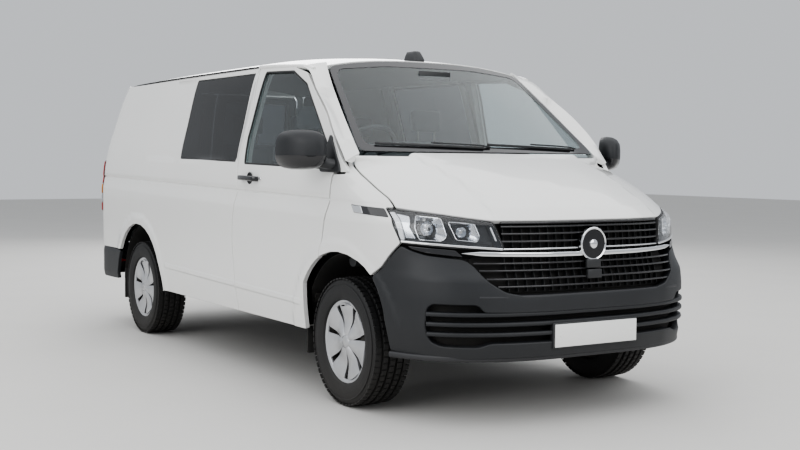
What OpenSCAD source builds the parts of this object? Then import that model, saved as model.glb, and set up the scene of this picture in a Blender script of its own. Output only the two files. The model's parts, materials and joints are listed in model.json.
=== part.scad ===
// Mid-size panel van with side windows: short wheelbase, low roof, right-hand drive.
// +X points to the front, +Y to the left, +Z up. The origin is on the floor below the
// middle of the van, so the tyres stand on z = 0. All sizes are in millimetres.

/* [Overall] */
// Length over both bumpers
length = 4904; // [4800:10:5100]
// Width of the body at the waist, without mirrors
width = 1904; // [1800:10:2000]
// Height of the roof at its crown
roof_z = 1914; // [1880:2:1960]
// Distance between the axles
wheelbase = 3000; // [2950:10:3200]
// Front axle to the front of the bumper
front_overhang = 908; // [880:2:960]
// Distance between the middles of the tyres on one axle
track = 1628; // [1560:4:1680]

/* [Body walls] */
// Thickness of a door or a side wall
wall = 60; // [40:1:75]
// Thickness of the roof with its lining
roof_wall = 38; // [25:1:60]
// Thickness of the bonnet and the wings
skin = 28; // [20:1:30]
// Gap at every shut line
shut_gap = 6; // [5:0.5:10]
// Thickness of a window pane
pane = 5; // [3:0.5:8]
// Depth of a side window pane behind the outer surface
pane_inset = 12; // [6:1:30]

/* [Heights] */
// Bottom edge of the doors and the sides
sill_z = 352; // [320:2:380]
// Top of the cab and load floor
floor_z = 545; // [500:5:600]
// Height of the waist crease
crease_z = 1080; // [1040:5:1120]
// Bottom edge of the side windows
belt_z = 1250; // [1200:5:1300]
// Height of the gutter where side and roof meet
gutter_z = 1838; // [1800:2:1860]

/* [Windscreen] */
// Windscreen foot on the centre line, from the front axle
screen_foot_x = 56; // [0:2:120]
// Height of the windscreen foot
screen_foot_z = 1312; // [1290:2:1340]
// Slope of the windscreen above the level
screen_slope = 37.5; // [34:0.5:42]
// How far the windscreen's sides lie behind its middle
screen_sag = 65; // [30:1:90]

/* [Wheels] */
// Outer radius of the tyre
tyre_r = 334; // [310:1:345]
// Front arch edge behind the front axle
arch_rear = 374; // [370:1:390]
// Bumper edge in front of the front axle
arch_front = 420; // [400:1:440]
// Width of the tyre
tyre_w = 215; // [185:5:235]
// Radius of the rim's seat
rim_r = 205; // [190:1:215]
// Radius of the wheel arch opening
arch_r = 462; // [440:1:480]
// Radius of a hub spindle
spindle_r = 20; // [15:1:30]
// Running clearance of spindles and pins
running_gap = 0.05; // [0.02:0.01:0.1]
// Distance of the steering axis inboard of the tyre's middle
kingpin_inset = 84; // [80:1:100]

/* [Doors] */
// Rear shut line of the front doors, from the front axle
door_rear = 1298; // [1250:2:1340]
// Front shut line of the front doors, from the front axle
door_front = 113; // [100:1:130]
// Half width of the rear door opening
rear_door_half = 800; // [740:5:820]

/* [Hidden] */

front_x = length / 2;
rear_x = -length / 2;
axle_f = front_x - front_overhang;
axle_r = axle_f - wheelbase;
half = width / 2;
nose_x = front_x - 40;
body_rear = rear_x + 44;
far = 4000;
kingpin_y = track / 2 - kingpin_inset;
hinge_x = axle_f - door_front + 60;
hinge_y = half - 48;
hinge_r = 8;
nose_sweep = 66;
meeting_skin = 6;
meeting_rebate = 20;
lashing_r = 4;
lashing_x = [axle_r - 464, axle_r + 236];
lashing_y = 560;
tow_r = 5.5;
tow_x = [body_rear + 130, body_rear + 250];
tow_y = 540;
door_hinge_z = [972, 1058];
rear_hinge_x = body_rear + 12;
rear_hinge_z = [700, 1320];
bonnet_hinge_x = axle_f - 44;
bonnet_hinge_z = screen_foot_z - 42;
inner_y = half - 27 - wall;
bay_half = 470;
screen_x = axle_f + screen_foot_x;
nose_drop = 450;
tail_drop = 110;
paint = "white";
plastic = [0.12, 0.12, 0.13];

// ---- outlines ----

// Half cross-section of the body, drawn in by t at the sides and by r at the roof.
function wall_line(t) = [
    [half - 27 - t, 0],
    [half - 27 - t, sill_z],
    [half - 7 - t, sill_z + 200],
    [half - t, crease_z],
    [half - 27 - t, belt_z],
    [half - 152 - t, gutter_z - 88],
    [half - 187 - t, gutter_z]];
function roof_line(t, r) = [for (i = [1:12])
    let (k = 1 - i / 12) [
        (half - 187 - t) * k,
        roof_z - r - (roof_z - gutter_z) * pow(k, 2.6)]];
function half_section(t, r) = concat(wall_line(t), roof_line(t, r));
function mirrored(points) = [for (i = [len(points) - 1:-1:0]) [-points[i][0], points[i][1]]];
function section(t, r) = concat(half_section(t, r), mirrored(half_section(t, r)));

// Side view of the box body: roof line and sloping tail.
function tail_line(t, r) = [
    [body_rear + t, 0],
    [body_rear + t, crease_z],
    [body_rear + 30 + t, belt_z + 60],
    [body_rear + 110 + t, gutter_z - 170],
    [body_rear + 200 + t, gutter_z + 10],
    [body_rear + 260 + t, roof_z - 22 - r],
    [body_rear + 510 + t, roof_z - 8 - r],
    [body_rear + 1500 + t, roof_z - r],
    [axle_f - 1440, roof_z - 2 - r],
    [axle_f - 944, roof_z - 26 - r],
    [axle_f - 600, roof_z - 64 - r],
    [axle_f, roof_z - 160],
    [axle_f + 600, 0]];

// Plan view: rounded nose and tail.
function plan_line(nose, t) = concat(
    [for (i = [-14:14]) let (k = i / 14)
        [nose - t - nose_drop * pow(abs(k), 3), (half - t) * k]],
    [for (i = [14:-1:-14]) let (k = i / 14)
        [body_rear + t + tail_drop * pow(abs(k), 8), (half - t) * k]]);

// Windscreen arc across the van, moved back by t.
function screen_arc(t) = concat(
    [for (i = [-10:10]) let (y = 100 * i) [y, -screen_sag * pow(y / 805, 2) - t]],
    [[1000, -far], [-1000, -far]]);

// Side view of the bonnet and the nose.
function bonnet_line(t) = [
    [axle_f - 250, screen_foot_z - t],
    [axle_f + 56, screen_foot_z - t],
    [axle_f + 256, 1256 - t],
    [axle_f + 456, 1188 - t],
    [axle_f + 656, 1098 - t],
    [axle_f + 786, 1024 - t],
    [nose_x - 21, 985 - t]];
function front_line(t) = concat([[axle_f - 250, 0]], bonnet_line(t),
    [[nose_x - t, 870], [nose_x - t, 0]]);

// Front door seen from the side; g moves every edge outwards.
function door_line(g) = [
    [axle_f - door_rear - g, sill_z - g],
    [axle_f - door_rear - 12 - g, 830],
    [axle_f - door_rear + 6 - g, crease_z],
    [axle_f - door_rear + 4 - g, 1450],
    [axle_f - door_rear - 20 - g, gutter_z - 12 + g],
    [axle_f - 895, gutter_z - 14 + g],
    [axle_f - 652 + g / 2, 1770 + g],
    [axle_f - 305 + 0.7 * g, 1526 + 0.7 * g],
    [axle_f - 30 + 0.7 * g, 1262 + 0.7 * g],
    [axle_f - 4 + g, 1212],
    [axle_f - 4 + g, 1208 - g],
    [axle_f - door_front + g, 1208 - g],
    [axle_f - door_front + g, crease_z - 15],
    [axle_f - door_front - 37 + g, 956],
    [axle_f - door_front - 84 + g, 750],
    [axle_f - door_front - 84 + g, sill_z - g]];
mirror_foot_line = [
    [axle_f - 165, 1209],
    [axle_f - 5, 1209],
    [axle_f - 5, 1214],
    [axle_f - 38, 1262],
    [axle_f - 196, 1414]];
door_window_line = [
    [axle_f - 1212, belt_z - 4],
    [axle_f - 1240, 1400],
    [axle_f - 1210, gutter_z - 46],
    [axle_f - 830, gutter_z - 62],
    [axle_f - 610, 1694],
    [axle_f - 60, 1216]];
// Pane and blank panel in the side behind the front doors.
side_window_line = [
    [axle_f - 2240, belt_z + 22],
    [axle_f - 2256, gutter_z - 30],
    [axle_f - 1356, gutter_z - 32],
    [axle_f - 1323, belt_z + 3]];
slide_door_line = [
    [axle_f - door_rear - 1070, sill_z],
    [axle_f - door_rear - 1070, gutter_z - 12],
    [axle_f - door_rear - 20 - shut_gap, gutter_z - 12],
    [axle_f - door_rear + 4 - shut_gap, 1450],
    [axle_f - door_rear + 6 - shut_gap, crease_z],
    [axle_f - door_rear - 12 - shut_gap, 830],
    [axle_f - door_rear - shut_gap, sill_z]];
wing_line = [
    [axle_f - door_front - 78, 745],
    [axle_f - door_front - 31, 956],
    [axle_f - door_front + shut_gap, crease_z - 15],
    [axle_f - door_front + shut_gap, screen_foot_z],
    [axle_f + 700, screen_foot_z],
    [axle_f + 500, 1046],
    [axle_f + 620, 880],
    [axle_f + 418, 749]];

// ---- building blocks ----

// Prism of a side-view outline between two y values.
module side_slab(points, y0, y1) {
    translate([0, y1, 0])
        rotate([90, 0, 0])
            linear_extrude(y1 - y0)
                polygon(points);
}
// Prism of a front-view outline between two x values.
module front_slab(points, x0, x1) {
    translate([x0, 0, 0])
        rotate([90, 0, 90])
            linear_extrude(x1 - x0)
                polygon(points);
}
module block(low, high) {
    translate(low)
        cube(high - low);
}
module across(r, y0, y1) {
    translate([0, y1, 0])
        rotate([90, 0, 0])
            cylinder(r = r, h = y1 - y0, $fn = 96);
}
module both_sides() {
    children();
    mirror([0, 1, 0])
        children();
}
// Everything behind the windscreen's surface moved back by t.
module behind_screen(t) {
    translate([screen_x, 0, screen_foot_z])
        rotate([0, screen_slope - 90, 0])
            rotate([0, 0, -90])
                linear_extrude(2 * far, center = true)
                    polygon(screen_arc(t));
}
// Solid of the box body drawn in by t at its walls and by r at its roof.
module body_solid(t, r) {
    intersection() {
        front_slab(section(t, r), rear_x, front_x);
        side_slab(tail_line(t, r), -half, half);
        linear_extrude(far)
            polygon(plan_line(nose_x, t));
        behind_screen(t);
    }
}
module body_shell() {
    difference() {
        body_solid(0, 0);
        translate([0, 0, -1])
            body_solid(wall, roof_wall);
    }
}
module nose_solid(t) {
    intersection() {
        front_slab(section(t, 0), axle_f - 250, front_x);
        side_slab(front_line(t), -half, half);
        linear_extrude(far)
            polygon(plan_line(nose_x, t));
    }
}
module nose_shell() {
    difference() {
        nose_solid(0);
        nose_solid(skin);
    }
}
// Wheel arches cut through the outer panels.
module arch_cuts(gap = 0) {
    intersection() {
        translate([axle_f, 0, tyre_r])
            across(arch_r + gap, -half - 10, half + 10);
        block([axle_f - arch_rear - gap, -far, 0], [axle_f + arch_front + gap, far, far]);
    }
    translate([axle_r, 0, tyre_r])
        across(arch_r + gap, -half - 10, half + 10);
}
windscreen_view = [[-788, screen_foot_z], [788, screen_foot_z], [656, 1812], [-656, 1812]];
module windscreen_opening() {
    front_slab(windscreen_view, axle_f - 900, front_x);
}
// Space that the front corner of a door sweeps through as it opens.
module door_sweep() {
    both_sides()
        translate([hinge_x, hinge_y, 1200])
            cylinder(r = nose_sweep, h = 104, $fn = 64);
}
// Hollow edge that lets the door's front turn past the wing.
module door_edge_sweep() {
    translate([hinge_x, -hinge_y, 0])
        rotate_extrude($fn = 96)
            polygon([[0, 740], [149, 740], [106, 956], [75.5, crease_z - 15],
                [75.5, crease_z], [64, 1208], [0, 1208]]);
}
module ring(outer, inner, height) {
    difference() {
        cylinder(r = outer, h = height, $fn = 64);
        translate([0, 0, -1])
            cylinder(r = inner, h = height + 2, $fn = 64);
    }
}

// ---- body ----

rail_y = 480;
module floor() {
    color([0.3, 0.3, 0.32]) {
        difference() {
            union() {
                intersection() {
                    block([body_rear + wall + 60, -inner_y, floor_z - 50], [axle_f - 60, inner_y, floor_z]);
                    linear_extrude(far)
                        polygon(plan_line(nose_x, wall));
                }
                // Rear wheel housings
                intersection() {
                    translate([axle_r, 0, tyre_r])
                        across(arch_r + 12, -inner_y, inner_y);
                    block([axle_r - 600, -inner_y, floor_z - 50], [axle_r + 600, inner_y, far]);
                }
                // Sills behind the door bottoms
                both_sides()
                    block([axle_r + 480, inner_y - 110, sill_z], [axle_f - 490, inner_y, floor_z]);
                // Long members and the rear cross member
                intersection() {
                    both_sides()
                        block([body_rear + wall + 60, rail_y - 60, floor_z - 150], [front_x, rail_y, floor_z - 49]);
                    linear_extrude(far)
                        polygon(plan_line(front_x - 60, 60));
                }
                block([body_rear + wall + 60, -inner_y + 180, sill_z + 40], [axle_r - 520, inner_y - 180, floor_z]);
                // Towers that hold the front struts
                both_sides() {
                    block([axle_f - 58, rail_y - 60, floor_z - 150], [axle_f + 58, rail_y, 880]);
                    block([axle_f - 58, rail_y - 60, 860], [axle_f + 58, kingpin_y - 100, 880]);
                }
                // Seat boxes
                both_sides()
                    block([axle_f - 1080, 200, floor_z], [axle_f - 640, 640, floor_z + 250]);
                block([axle_f - 2060, -620, floor_z], [axle_f - 1720, 620, floor_z + 230]);
            }
            // Load space between the rear wheel housings
            difference() {
                block([axle_r - 700, -inner_y + 240, floor_z], [axle_r + 700, inner_y - 240, far]);
                block([axle_f - 2060, -620, floor_z], [axle_f - 1720, 620, floor_z + 230]);
            }
            both_sides() {
                // Rear wheel housings, hollow from below
                translate([axle_r, 0, tyre_r])
                    across(arch_r, inner_y - 230, half);
                // Front wheel space
                translate([axle_f, 0, tyre_r])
                    across(arch_r - 20, rail_y, half);
                // Tapped holes for lashing eyes
                for (x = lashing_x)
                    translate([x, lashing_y, floor_z - 60])
                        cylinder(r = lashing_r, h = 80, $fn = 32);
                // Bolt holes for a tow bracket
                for (x = tow_x)
                    translate([x, tow_y, sill_z])
                        cylinder(r = tow_r, h = 100, $fn = 32);
            }
        }
    }
}

module side(y0, y1) {
    color(paint)
        difference() {
            intersection() {
                body_shell();
                block([rear_x, y0, sill_z], [front_x, y1, far]);
            }
            side_slab(door_line(shut_gap), y0, y1);
            windscreen_opening();
            arch_cuts();
            door_sweep();
            // The nose carries its own wings
            block([axle_f - 230, y0, 0], [front_x, y1, screen_foot_z]);
            // Rear bumper corner and rear door opening
            block([rear_x, y0, 0], [axle_r - 374, y1, 596]);
            block([rear_x, -rear_door_half, 0], [axle_r - 600, rear_door_half, gutter_z - 22]);
            tail_lamp_space();
        }
}
module side_r() {
    difference() {
        side(-half, -735);
        side_slab(side_window_line, -half, -700);
    }
    mirror([0, 1, 0])
        rear_hinge_pins();
}
module side_l() {
    difference() {
        side(735, half);
        side_slab(slide_door_line, 700, half);
    }
    rear_hinge_pins();
}
// Fixed half of the rear door hinges, with their pins.
module rear_hinge_pins() {
    color(paint)
        for (z = rear_hinge_z)
            translate([rear_hinge_x, rear_door_half, z]) {
                cylinder(r = 12, h = 40, $fn = 48);
                cylinder(r = 6, h = 80, $fn = 48);
                block([0, 5, 0], [70, 30, 40]);
                block([0, 0, 0], [12, 30, 40]);
            }
}
module slide_door() {
    color(paint)
        difference() {
            intersection() {
                body_shell();
                side_slab(slide_door_line, 737, half);
            }
            side_slab(side_window_line, 700, half);
            arch_cuts();
        }
}
module side_glass() {
    color([0.1, 0.12, 0.14, 0.8])
        both_sides()
            intersection() {
                difference() {
                    body_solid(pane_inset, 0);
                    body_solid(pane_inset + pane, 0);
                }
                side_slab(side_window_line, 700, half);
            }
}
module roof() {
    color(paint)
        difference() {
            intersection() {
                body_shell();
                block([rear_x, -735, gutter_z - 100], [front_x, 735, far]);
            }
            windscreen_opening();
            side_slab(door_line(shut_gap), -half, half);
            block([rear_x, -rear_door_half, 0], [axle_r - 600, rear_door_half, gutter_z - 22]);
            block([axle_f - 560, -735, 0], [front_x, 735, 1812]);
        }
}
module windscreen() {
    color([0.2, 0.3, 0.3, 0.5])
        intersection() {
            difference() {
                behind_screen(0);
                behind_screen(pane + 1);
            }
            windscreen_opening();
            body_solid(0, 0);
        }
}
module wings() {
    color(paint)
        difference() {
            intersection() {
                nose_shell();
                side_slab(wing_line, -half, half);
            }
            block([axle_f - 600, -bonnet_half - shut_gap, 0], [front_x, bonnet_half + shut_gap, far]);
            side_slab(door_line(shut_gap), -half, half);
            arch_cuts();
            door_sweep();
        }
}
module cowl() {
    color(plastic)
        difference() {
            union() {
                // Scuttle across the foot of the windscreen
                intersection() {
                    behind_screen(-20);
                    block([axle_f - 110, -780, 1170], [front_x, 780, screen_foot_z - skin - shut_gap]);
                    side_slab(bonnet_line_closed(skin + shut_gap), -half, half);
                }
                // Wall between cab and engine
                block([axle_f - 110, -780, 760], [axle_f - 60, 780, 1180]);
                block([axle_f - 110, -rail_y + 60, floor_z], [axle_f - 60, rail_y - 60, 760]);
                // Seat of the glass
                intersection() {
                    difference() {
                        behind_screen(pane + 1);
                        behind_screen(60);
                    }
                    block([axle_f - 110, -780, 1240], [front_x, 780, screen_foot_z]);
                }
            }
            door_sweep();
        }
    color(plastic)
        both_sides() {
            // Front door hinges
            for (z = door_hinge_z) {
                block([hinge_x - 12, 779, z - 12], [hinge_x + 12, hinge_y + 10, z]);
                block([hinge_x - 12, 779, z + 32.6], [hinge_x + 12, hinge_y + 10, z + 44]);
                translate([hinge_x, hinge_y, z - 12])
                    cylinder(r = hinge_r, h = 56, $fn = 48);
            }
            // Bonnet hinge pins
            translate([bonnet_hinge_x, 0, bonnet_hinge_z])
                across(hinge_r, 779, bonnet_half - 1);
        }
}
function bonnet_line_closed(t) = concat([[axle_f - 250, 0]], bonnet_line(t), [[nose_x - 21, 0]]);

bonnet_half = 800;
module bonnet() {
    color(paint)
        difference() {
            intersection() {
                nose_shell();
                block([axle_f - 60, -bonnet_half, 940], [nose_x - 24, bonnet_half, far]);
                front_slab([[-bonnet_half, 1040], [-520, 990], [520, 990], [bonnet_half, 1040],
                    [bonnet_half, far], [-bonnet_half, far]], axle_f - 60, front_x);
            }
            // Curved rear edge in front of the glass
            behind_screen(-26);
        }
    color(paint)
        both_sides()
            difference() {
                union() {
                    side_slab([[bonnet_hinge_x, bonnet_hinge_z - 16], [bonnet_hinge_x + 145, bonnet_hinge_z - 12],
                        [bonnet_hinge_x + 145, bonnet_hinge_z + 16], [bonnet_hinge_x + 95, bonnet_hinge_z + 16],
                        [bonnet_hinge_x, bonnet_hinge_z + 12]], bonnet_half - 16, bonnet_half - 4);
                    translate([bonnet_hinge_x, 0, bonnet_hinge_z])
                        across(hinge_r + 8, bonnet_half - 16, bonnet_half - 4);
                }
                translate([bonnet_hinge_x, 0, bonnet_hinge_z])
                    across(hinge_r + running_gap, bonnet_half - 20, bonnet_half);
            }
}
module headlamps() {
    color([0.8, 0.85, 0.9])
        both_sides()
            intersection() {
                difference() {
                    nose_solid(6);
                    nose_solid(120);
                }
                block([axle_f + 380, 505, 830], [front_x, half, 1040 - shut_gap]);
                front_slab([[500, 830], [half, 850], [half, 1034], [bonnet_half, 1034], [520, 984]],
                    axle_f + 380, front_x);
                side_slab([[axle_f + 506, 1040], [axle_f + 622, 882], [nose_x, 836], [nose_x, 1040]], 400, half);
            }
}
module grille() {
    color(plastic)
        difference() {
            intersection() {
                nose_solid(4);
                block([nose_x - 130, -505, 640], [front_x, 505, 990 - shut_gap]);
            }
            translate([-40, 0, 0])
                nose_solid(10);
            for (z = [700:52:960])
                block([nose_x - 200, -430, z], [front_x, 430, z + 22]);
        }
}
module front_bumper() {
    color(plastic)
        difference() {
            intersection() {
                linear_extrude(far)
                    polygon(plan_line(front_x, 0));
                front_slab(section(-8, 0), axle_f, front_x);
                side_slab([[axle_f + 300, 342], [axle_f + 300, 738], [axle_f + 416, 738], [axle_f + 608, 864],
                    [nose_x - 10, 822], [front_x, 640], [front_x, 420], [front_x - 30, 342]], -half - 8, half + 8);
            }
            linear_extrude(far)
                polygon(plan_line(front_x - 60, 60));
            // Opening behind the grille
            block([axle_f, -505, 640], [front_x, 505, far]);
            arch_cuts();
            translate([0, 0, 376])
                block([front_x - 4, -262, 0], [front_x + 1, 262, 115]);
            // Lower intake
            block([axle_f, -520, 520], [front_x, 520, 600]);
        }
}
module front_plate() {
    color("white")
        block([front_x - 4, -260, 378], [front_x, 260, 489]);
}
module rear_bumper() {
    color(plastic)
        difference() {
            intersection() {
                translate([-44, 0, 0])
                    linear_extrude(far)
                        polygon(plan_line(nose_x, 0));
                front_slab(section(-8, 0), rear_x, axle_r);
                block([rear_x, -half - 8, sill_z], [axle_r - 380, half + 8, 590]);
            }
            linear_extrude(far)
                polygon(plan_line(nose_x, wall));
            arch_cuts();
        }
}
module tail_lamp_space() {
    both_sides()
        block([rear_x, rear_door_half + 20, 860], [body_rear + 135, half, 1250]);
}
module tail_lamps() {
    color([0.7, 0.05, 0.05])
        intersection() {
            body_shell();
            tail_lamp_space();
        }
}
module wipers() {
    color(plastic)
        for (y = [-560, -30])
            intersection() {
                difference() {
                    behind_screen(-16);
                    behind_screen(-0.3);
                }
                union() {
                    block([axle_f - 200, y, screen_foot_z + 26], [front_x, y + 560, screen_foot_z + 40]);
                    block([axle_f - 200, y, screen_foot_z - 24], [front_x, y + 40, screen_foot_z + 36]);
                }
            }
}
module aerial() {
    color(plastic)
        difference() {
            hull() {
                translate([axle_f - 850, -20, roof_z - 60])
                    cube([150, 40, 1]);
                translate([axle_f - 850, -6, roof_z + 8])
                    cube([40, 12, 8]);
            }
            body_solid(0, 0);
        }
}
module engine() {
    color([0.45, 0.45, 0.47])
        block([axle_f + 80, -400, 330], [axle_f + 640, 400, 940]);
}

// ---- cab ----

column_x = axle_f - 694;
column_y = -380;
column_z = 1320;
column_tilt = 52;
module column_place() {
    translate([column_x, column_y, column_z])
        rotate([0, -column_tilt, 0])
            children();
}
module dashboard() {
    color([0.16, 0.17, 0.18])
        difference() {
            union() {
                side_slab([[axle_f - 110, 700], [axle_f - 110, 1262], [axle_f - 200, 1275],
                    [axle_f - 380, 1240], [axle_f - 440, 1150], [axle_f - 380, 960],
                    [axle_f - 190, 880], [axle_f - 190, 700]], -780, 780);
                column_place()
                    translate([0, 0, -450])
                        cylinder(r = 45, h = 410, $fn = 48);
            }
            column_place()
                translate([0, 0, -150])
                    cylinder(r = 12 + running_gap, h = 160, $fn = 48);
        }
}
module steering_wheel() {
    color([0.1, 0.1, 0.1])
        column_place() {
            rotate_extrude($fn = 96)
                translate([178, 0])
                    circle(r = 14, $fn = 24);
            difference() {
                translate([0, 0, -14])
                    cylinder(r = 176, h = 20, $fn = 96);
                for (a = [30, 150, 270])
                    rotate([0, 0, a])
                        translate([95, 0, -20])
                            cylinder(r = 62, h = 40, $fn = 48);
            }
            translate([0, 0, -39.7])
                cylinder(r = 55, h = 40, $fn = 48);
            translate([0, 0, -120])
                cylinder(r = 12, h = 110, $fn = 48);
        }
}
module seat(y0, y1, x, z) {
    block([x, y0, z + 0.3], [x + 500, y1, z + 140]);
    side_slab([[x - 20, z + 0.3], [x - 150, z + 640], [x - 40, z + 640], [x - 0.5, z + 140],
        [x - 0.5, z + 0.3]], y0, y1);
    // Head restraints
    count = max(1, round((y1 - y0) / 480));
    for (i = [0:count - 1])
        translate([x - 155, y0 + (y1 - y0) * (i + 0.5) / count, z + 640.3])
            translate([0, -125, 0])
                cube([95, 250, 180]);
}
module front_seats() {
    color([0.2, 0.21, 0.23])
        both_sides()
            seat(160, 680, axle_f - 1180, floor_z + 250);
}
module rear_bench() {
    color([0.2, 0.21, 0.23])
        seat(-660, 660, axle_f - 2100, floor_z + 230);
}

// ---- doors ----

module door() {
    color(paint) {
        difference() {
            intersection() {
                door_wall();
                side_slab(door_line(0), -half - 10, -700);
            }
            side_slab(mirror_foot_line, -half - 10, -700);
            side_slab(door_window_line, -half - 10, -700);
            arch_cuts(2);
            door_edge_sweep();
        }
        for (z = door_hinge_z)
            translate([hinge_x, -hinge_y, z + 0.3])
                door_hinge_arm();
    }
}
// Curved arm that reaches round the wing's edge to the hinge pin.
module door_hinge_arm() {
    bow = [-60, 22];
    bow_r = norm(bow);
    difference() {
        union() {
            intersection() {
                translate(bow)
                    ring(bow_r + 4, bow_r - 4, 32);
                linear_extrude(32)
                    polygon([bow, [6, -6], [6, 90], [-140, 90], [-140, -2]]);
            }
            cylinder(r = hinge_r + 4, h = 32, $fn = 48);
        }
        translate([0, 0, -1])
            cylinder(r = hinge_r + running_gap, h = 40, $fn = 48);
    }
}
// Door material: the side wall only, without the windscreen's front face.
module door_wall() {
    difference() {
        front_slab(section(0, 0), axle_f - 1400, axle_f + 60);
        front_slab(section(wall, roof_wall), axle_f - 1401, axle_f + 61);
    }
}
module door_glass() {
    color([0.2, 0.3, 0.3, 0.5])
        difference() {
            intersection() {
                difference() {
                    front_slab(section(pane_inset, 0), axle_f - 1400, axle_f);
                    front_slab(section(pane_inset + pane, 0), axle_f - 1401, axle_f + 1);
                }
                side_slab(door_window_line, -half, -600);
            }
            side_slab(mirror_foot_line, -half, -600);
        }
}
module door_mirror() {
    color(plastic) {
        difference() {
            intersection() {
                difference() {
                    front_slab(section(-4, 0), axle_f - 400, axle_f);
                    front_slab(section(30, 0), axle_f - 401, axle_f + 1);
                }
                side_slab(mirror_foot_line, -half - 10, -600);
            }
        }
        hull() {
            translate([axle_f - 130, -half - 60, 1268])
                sphere(r = 34, $fn = 24);
            translate([axle_f - 130, -1148.5 + 46, 1268])
                sphere(r = 46, $fn = 24);
            translate([axle_f - 128, -1148.5 + 60, 1375])
                sphere(r = 60, $fn = 24);
            translate([axle_f - 130, -half - 50, 1370])
                sphere(r = 42, $fn = 24);
        }
        translate([axle_f - 112, -half - 50, 1245])
            rotate([-90, 0, 0])
                cylinder(r = 22, h = 68, $fn = 32);
    }
}
module door_r() {
    door();
}
module door_l() {
    mirror([0, 1, 0])
        door();
}
module door_glass_r() {
    door_glass();
}
module door_glass_l() {
    mirror([0, 1, 0])
        door_glass();
}
module mirror_r() {
    door_mirror();
}
module mirror_l() {
    mirror([0, 1, 0])
        door_mirror();
}

rear_door_foot = 602;
rear_window_line = [[-690, belt_z - 10], [-100, belt_z - 10], [-100, gutter_z - 90], [-640, gutter_z - 90]];
module rear_door() {
    color(paint) {
        difference() {
            intersection() {
                body_shell();
                block([rear_x, -rear_door_half + shut_gap, rear_door_foot],
                    [axle_r - 600, -shut_gap / 2, gutter_z - 28]);
            }
            front_slab(rear_window_line, rear_x, axle_r - 500);
            // Rebated edge that clears the other door
            intersection() {
                body_solid(meeting_skin, 0);
                block([rear_x, -meeting_rebate, 0], [axle_r - 600, 0, far]);
            }
        }
        // Moving half of the hinges
        for (z = rear_hinge_z)
            translate([rear_hinge_x, -rear_door_half, z + 40.3])
                difference() {
                    union() {
                        cylinder(r = 12, h = 39.7, $fn = 48);
                        block([0, 6, 0], [70, 32, 39.7]);
                        block([0, 0, 0], [12, 32, 39.7]);
                    }
                    translate([0, 0, -1])
                        cylinder(r = 6 + running_gap, h = 50, $fn = 48);
                }
    }
}
module rear_glass() {
    color([0.1, 0.12, 0.14, 0.8])
        intersection() {
            difference() {
                body_solid(pane_inset, 0);
                body_solid(pane_inset + pane, 0);
            }
            front_slab(rear_window_line, rear_x, axle_r - 600);
        }
}
module rear_door_r() {
    rear_door();
}
module rear_door_l() {
    mirror([0, 1, 0])
        rear_door();
}
module rear_glass_r() {
    rear_glass();
}
module rear_glass_l() {
    mirror([0, 1, 0])
        rear_glass();
}

// ---- running gear ----

hub_face = track / 2 - 40;
module spindle_place(x, side) {
    translate([x, 0, tyre_r])
        rotate([-90 * side, 0, 0])
            children();
}
module front_axle() {
    color([0.2, 0.2, 0.21]) {
        block([axle_f - 260, -rail_y, 250], [axle_f + 220, rail_y, 330]);
        both_sides() {
            for (x = [axle_f - 240, axle_f + 140])
                block([x, rail_y - 60, 329], [x + 60, rail_y, floor_z - 150]);
            // Lower arm with its eye
            difference() {
                union() {
                    block([axle_f - 60, rail_y - 62, 236], [axle_f + 60, kingpin_y - 20, 262]);
                    translate([axle_f, kingpin_y, 236])
                        cylinder(r = 42, h = 26, $fn = 48);
                }
                translate([axle_f, kingpin_y, 200])
                    cylinder(r = 12 + running_gap, h = 100, $fn = 48);
            }
            // Strut with its eye above the knuckle
            difference() {
                union() {
                    translate([axle_f, kingpin_y - 150, 440])
                        cylinder(r = 38, h = 420, $fn = 48);
                    block([axle_f - 30, kingpin_y - 150, 440], [axle_f + 30, kingpin_y, 462]);
                    translate([axle_f, kingpin_y, 440])
                        cylinder(r = 34, h = 22, $fn = 48);
                }
                translate([axle_f, kingpin_y, 400])
                    cylinder(r = 12 + running_gap, h = 100, $fn = 48);
            }
        }
    }
}
module knuckle() {
    color([0.35, 0.35, 0.36]) {
        block([axle_f - 45, -kingpin_y - 34, 264], [axle_f + 45, -kingpin_y + 22, 438]);
        translate([axle_f, -kingpin_y, 240])
            cylinder(r = 12, h = 220, $fn = 48);
        spindle_place(axle_f, -1) {
            cylinder(r = spindle_r, h = hub_face + 36, $fn = 48);
            cylinder(r = 70, h = hub_face - 3, $fn = 64);
        }
    }
}
module knuckle_r() {
    difference() {
        knuckle();
        block([axle_f - 200, -kingpin_y + 20, 0], [axle_f + 200, half, far]);
    }
}
module knuckle_l() {
    mirror([0, 1, 0])
        knuckle_r();
}
module rear_axle() {
    color([0.2, 0.2, 0.21]) {
        block([axle_r + 20, -590, 300], [axle_r + 140, 590, 370]);
        both_sides() {
            side_slab([[axle_r - 50, 290], [axle_r - 50, 380], [axle_r + 140, 370], [axle_r + 420, 490],
                [axle_r + 470, 460], [axle_r + 140, 290]], 560, 620);
            block([axle_r + 380, rail_y, 440], [axle_r + 470, 620, floor_z - 50]);
            translate([axle_r + 60, 530, 369])
                cylinder(r = 45, h = floor_z - 50 - 369, $fn = 48);
        }
        both_sides()
            intersection() {
                spindle_place(axle_r, 1)
                    union() {
                        cylinder(r = spindle_r, h = hub_face + 36, $fn = 48);
                        cylinder(r = 70, h = hub_face - 3, $fn = 64);
                    }
                block([axle_r - 200, 600, 0], [axle_r + 200, far, far]);
            }
    }
}
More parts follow.
